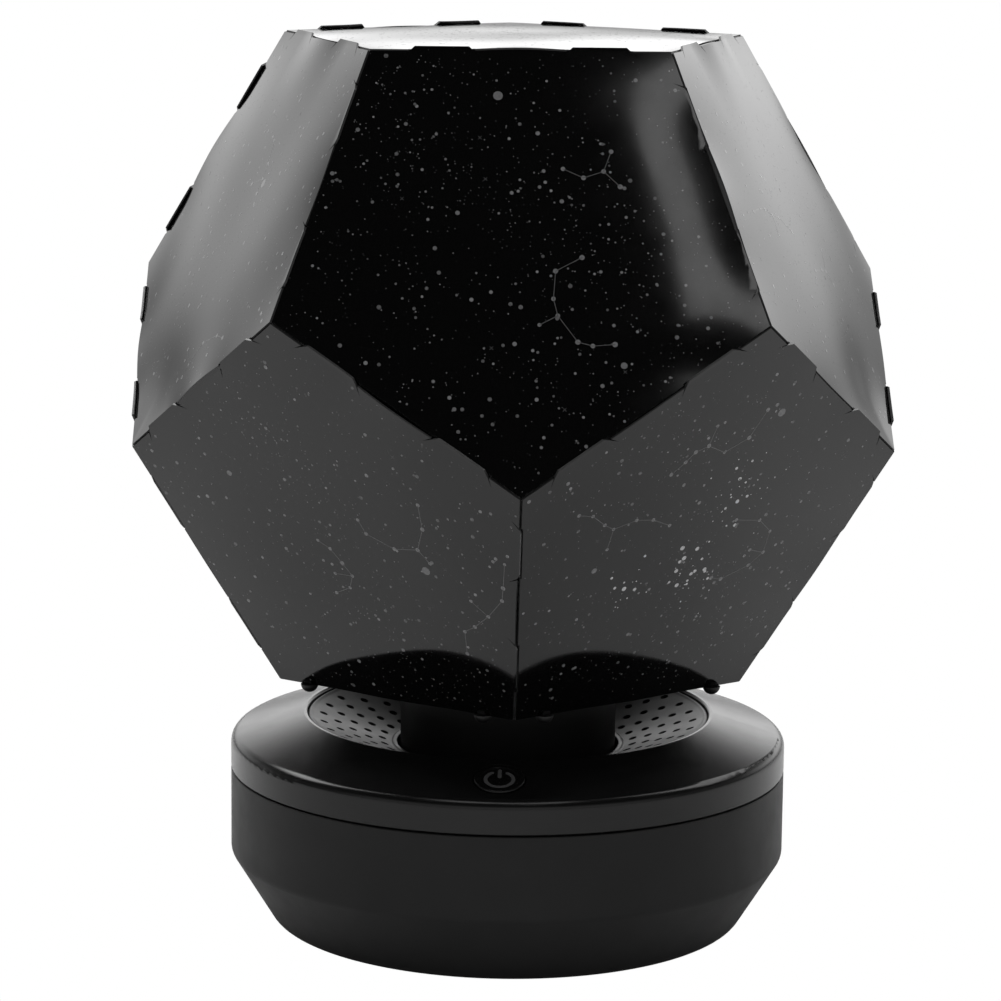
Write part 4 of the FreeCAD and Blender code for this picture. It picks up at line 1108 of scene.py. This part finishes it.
@dataclass
class Filament:
    """Coiled wire on two supports inside the bulb."""

    wire: float = 0.12 * MM
    wire_sides: int = 6
    coil_radius: float = 0.5 * MM
    span: float = 3.4 * MM
    turns: int = 9
    points_a_turn: int = 12
    support_foot: float = -9 * MM
    support_top: float = -0.6 * MM
    support_points: int = 8
    skew: tuple[float, float, float] = (0.31, 0.87, 0.38)

    def build(self) -> None:
        """A helix across the globe, whose ends go straight down into the cap."""
        low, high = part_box("bulb_glass")
        centre = np.array([0.0, 0.0, high.z - (high.y - low.y) / 2])
        share = np.linspace(0, 1, self.turns * self.points_a_turn)
        angle = share * self.turns * 2 * math.pi
        coil = np.stack([(share - 0.5) * self.span, np.cos(angle) * self.coil_radius,
                         np.sin(angle) * self.coil_radius], -1)
        drop = np.linspace(self.support_foot, self.support_top, self.support_points)
        left = np.insert(np.tile(coil[0, :2], (len(drop), 1)), 2, drop, axis=1)
        right = np.insert(np.tile(coil[-1, :2], (len(drop), 1)), 2, drop[::-1], axis=1)
        self.tube(np.vstack([left, coil, right]) + centre)

    def tube(self, path: np.ndarray) -> bpy.types.Object:
        """A round wire along a path, with rings square to it.

        Each ring is turned by the skew direction, which no part of the wire follows.

        Args:
            path: the wire's middle line.

        Returns:
            The finished piece.
        """
        run = unit_runs(path)
        aside = np.cross(run, np.array(self.skew))
        aside /= np.linalg.norm(aside, axis=1, keepdims=True)
        third = np.cross(run, aside)
        around = np.arange(self.wire_sides) * 2 * math.pi / self.wire_sides
        ring = (aside[:, None] * np.cos(around)[None, :, None]
                + third[:, None] * np.sin(around)[None, :, None])
        points = path[:, None] + ring * self.wire / 2
        mesh = new_mesh("bulb_filament", points, ribbon_faces(1, len(path), self.wire_sides))
        return put_piece(mesh, True, "base", "nickel", Finish.TUNGSTEN)


# Studio

@dataclass(frozen=True)
class SoftBox:
    """A rectangular studio lamp aimed at the object's middle, with angles in degrees."""

    name: str
    azimuth: float
    elevation: float
    distance: float
    width: float
    height: float
    watts: float
    lean: float = 0.0

    def build(self, aim: Vector) -> None:
        """Places the lamp.

        Args:
            aim: the point that it faces.
        """
        turn, rise = math.radians(self.azimuth), math.radians(self.elevation)
        level = math.cos(rise)
        away = Vector((math.sin(turn) * level, -math.cos(turn) * level, math.sin(rise)))
        data = bpy.data.lights.new(self.name, "AREA")
        data.shape = "RECTANGLE"
        data.size, data.size_y = self.width, self.height
        data.energy = self.watts
        lamp = put(self.name, data)
        lamp.location = aim + away * self.distance
        lamp.rotation_mode = "QUATERNION"
        rolled = Quaternion((0.0, 0.0, 1.0), math.radians(self.lean))
        lamp.rotation_quaternion = away.to_track_quat("Z", "Y") @ rolled


@dataclass
class Studio:
    """Pale floor, white surroundings, soft lamps and the camera.

    The ranges are limits of a direction's y or z, which go from -1 to 1.
    """

    floor_size: float = 12.0
    floor_colour: float = 0.68
    floor_change: float = 1.03
    floor_patch: float = 0.5
    surround: tuple[float, float, float] = (0.76, 1.8, 1.15)
    surround_stops: tuple[float, float, float] = (0.18, 0.5, 0.82)
    sides: float = 0.12
    sides_range: Limits = (0.3, 0.85)
    skirting: float = 0.22
    skirting_range: Limits = (0.0, 0.16)
    ahead: float = 0.3
    ahead_range: Limits = (-0.2, -0.7)
    ceiling: float = 0.012
    ceiling_range: Limits = (0.22, 0.5)
    fill: float = 0.27
    camera_place: tuple[float, float, float] = (0.02639, -0.85955, 0.2599)
    forward: tuple[float, float, float] = (-0.03278, 0.98237, -0.18404)
    right: tuple[float, float, float] = (0.99931, 0.0354, 0.01095)
    sensor: float = 36.0
    focal_share: float = 3793.8 / 1001.0
    clip: Limits = (0.01, 100.0)
    lamps: tuple[SoftBox, ...] = (
        SoftBox("left_box", -125, 52, 1.3, 0.8, 0.8, 7.2),
        SoftBox("right_box", 125, 52, 1.3, 0.8, 0.8, 4.2),
        SoftBox("top_box", 180, 66, 1.3, 1.0, 0.6, 2.5),
        SoftBox("strip_box", 12.9, 49, 1.5, 0.042, 0.29, 0.062, 8),
        SoftBox("strip_foot", 12.8, 40.0, 1.5, 0.02, 0.035, 0.0017, 8),
        SoftBox("front_bar", -2, 72, 1.5, 1.0, 0.6, 3),
    )

    def floor(self) -> None:
        """A pale floor that is plain white to the camera."""
        half = self.floor_size / 2
        corners = np.array([[-1, -1, 0], [1, -1, 0], [1, 1, 0], [-1, 1, 0]]) * half
        mesh = new_mesh("studio_floor", corners, [[0, 1, 2, 3]])
        shade = Shade("studio_floor")
        stops = [(0.0, grey(self.floor_colour)),
                 (1.0, grey(self.floor_colour * self.floor_change))]
        shade.set(Base_Color=shade.ramp(shade.noise(self.floor_patch), stops), Roughness=0.9,
                  Specular_IOR_Level=0.0)
        white = shade.node("ShaderNodeEmission").outputs["Emission"]
        seen = shade.node("ShaderNodeLightPath").outputs["Is Camera Ray"]
        either = shade.node("ShaderNodeMixShader",
                            {0: seen, 1: shade.shader.outputs["BSDF"], 2: white})
        output = shade.tree.nodes["Material Output"]
        shade.feed(output.inputs["Surface"], either.outputs["Shader"])
        mesh.materials.append(shade.material)
        put("studio_floor", mesh)

    def world(self) -> None:
        """White to the camera, a sweep of walls in gloss, and an even fill on matt.

        The walls go over three levels from left to right, fall off towards the
        sides and the floor, and fade upwards to the ceiling.
        """
        world = bpy.data.worlds.new("studio_world")
        world.use_nodes = True
        bpy.context.scene.world = world
        nodes = Nodes(world.node_tree)
        ground = nodes.tree.nodes["Background"]
        ground.inputs["Color"].default_value = (1.0, 1.0, 1.0, 1.0)
        place = nodes.node("ShaderNodeTexCoord").outputs["Generated"]
        x, y, z = nodes.node("ShaderNodeSeparateXYZ", {"Vector": place}).outputs
        across = nodes.reckon("MULTIPLY_ADD", x, 0.5, 0.5)
        levels = [(stop, grey(level)) for stop, level in zip(self.surround_stops, self.surround)]
        sweep = nodes.ramp(across, levels)
        back = nodes.span(y, self.sides, 1.0, *self.sides_range, "SMOOTHSTEP")
        low = nodes.span(z, self.skirting, 1.0, *self.skirting_range, "SMOOTHSTEP")
        front = nodes.span(y, 0.0, self.ahead, *self.ahead_range, "SMOOTHSTEP")
        dim = nodes.reckon("MULTIPLY", back, low)
        walls = nodes.reckon("MULTIPLY_ADD", sweep, dim, front)
        mirrored = nodes.span(z, walls, self.ceiling, *self.ceiling_range, "SMOOTHSTEP")
        path = nodes.node("ShaderNodeLightPath").outputs
        glossy = nodes.reckon("MAXIMUM", path["Is Glossy Ray"], path["Is Transmission Ray"])
        gloss = nodes.mix(glossy, self.fill, mirrored)
        nodes.feed(ground.inputs["Strength"], nodes.mix(path["Is Camera Ray"], gloss, 1.0))

    def camera(self) -> None:
        """The photograph's view, from its measured place and direction."""
        forward = Vector(self.forward).normalized()
        right = Vector(self.right).normalized()
        up = right.cross(forward).normalized()
        data = bpy.data.cameras.new("photo_camera")
        data.sensor_width = self.sensor
        data.lens = self.sensor * self.focal_share
        data.clip_start, data.clip_end = self.clip
        camera = put("photo_camera", data)
        camera.matrix_world = Matrix((right, up, -forward)).transposed().to_4x4()
        camera.location = Vector(self.camera_place)
        bpy.context.scene.camera = camera

    def build(self) -> None:
        """Sets up everything round the object."""
        self.floor()
        self.world()
        self.camera()
        low, high = CAD_BOUNDS
        for lamp in self.lamps:
            lamp.build((low + high) / 2)
        bpy.context.scene.view_settings.view_transform = "Standard"


def dress_nodes() -> None:
    """Gives every CAD node its finish."""
    for finish, names in NODE_FINISH.items():
        for name in names:
            node = frame["nodes"][name]
            node.data.materials.clear()
            node.data.materials.append(finish.material)
            LOG.info("%s: %s", name, finish.value.name)


def main() -> None:
    """Builds the dressed projector and the studio."""
    logging.basicConfig(level=logging.INFO, format="%(name)s: %(message)s")
    dress_nodes()
    FilmDome().build()
    PowerSymbol().build()
    Filament().build()
    Studio().build()


if __name__ == "__main__":
    main()
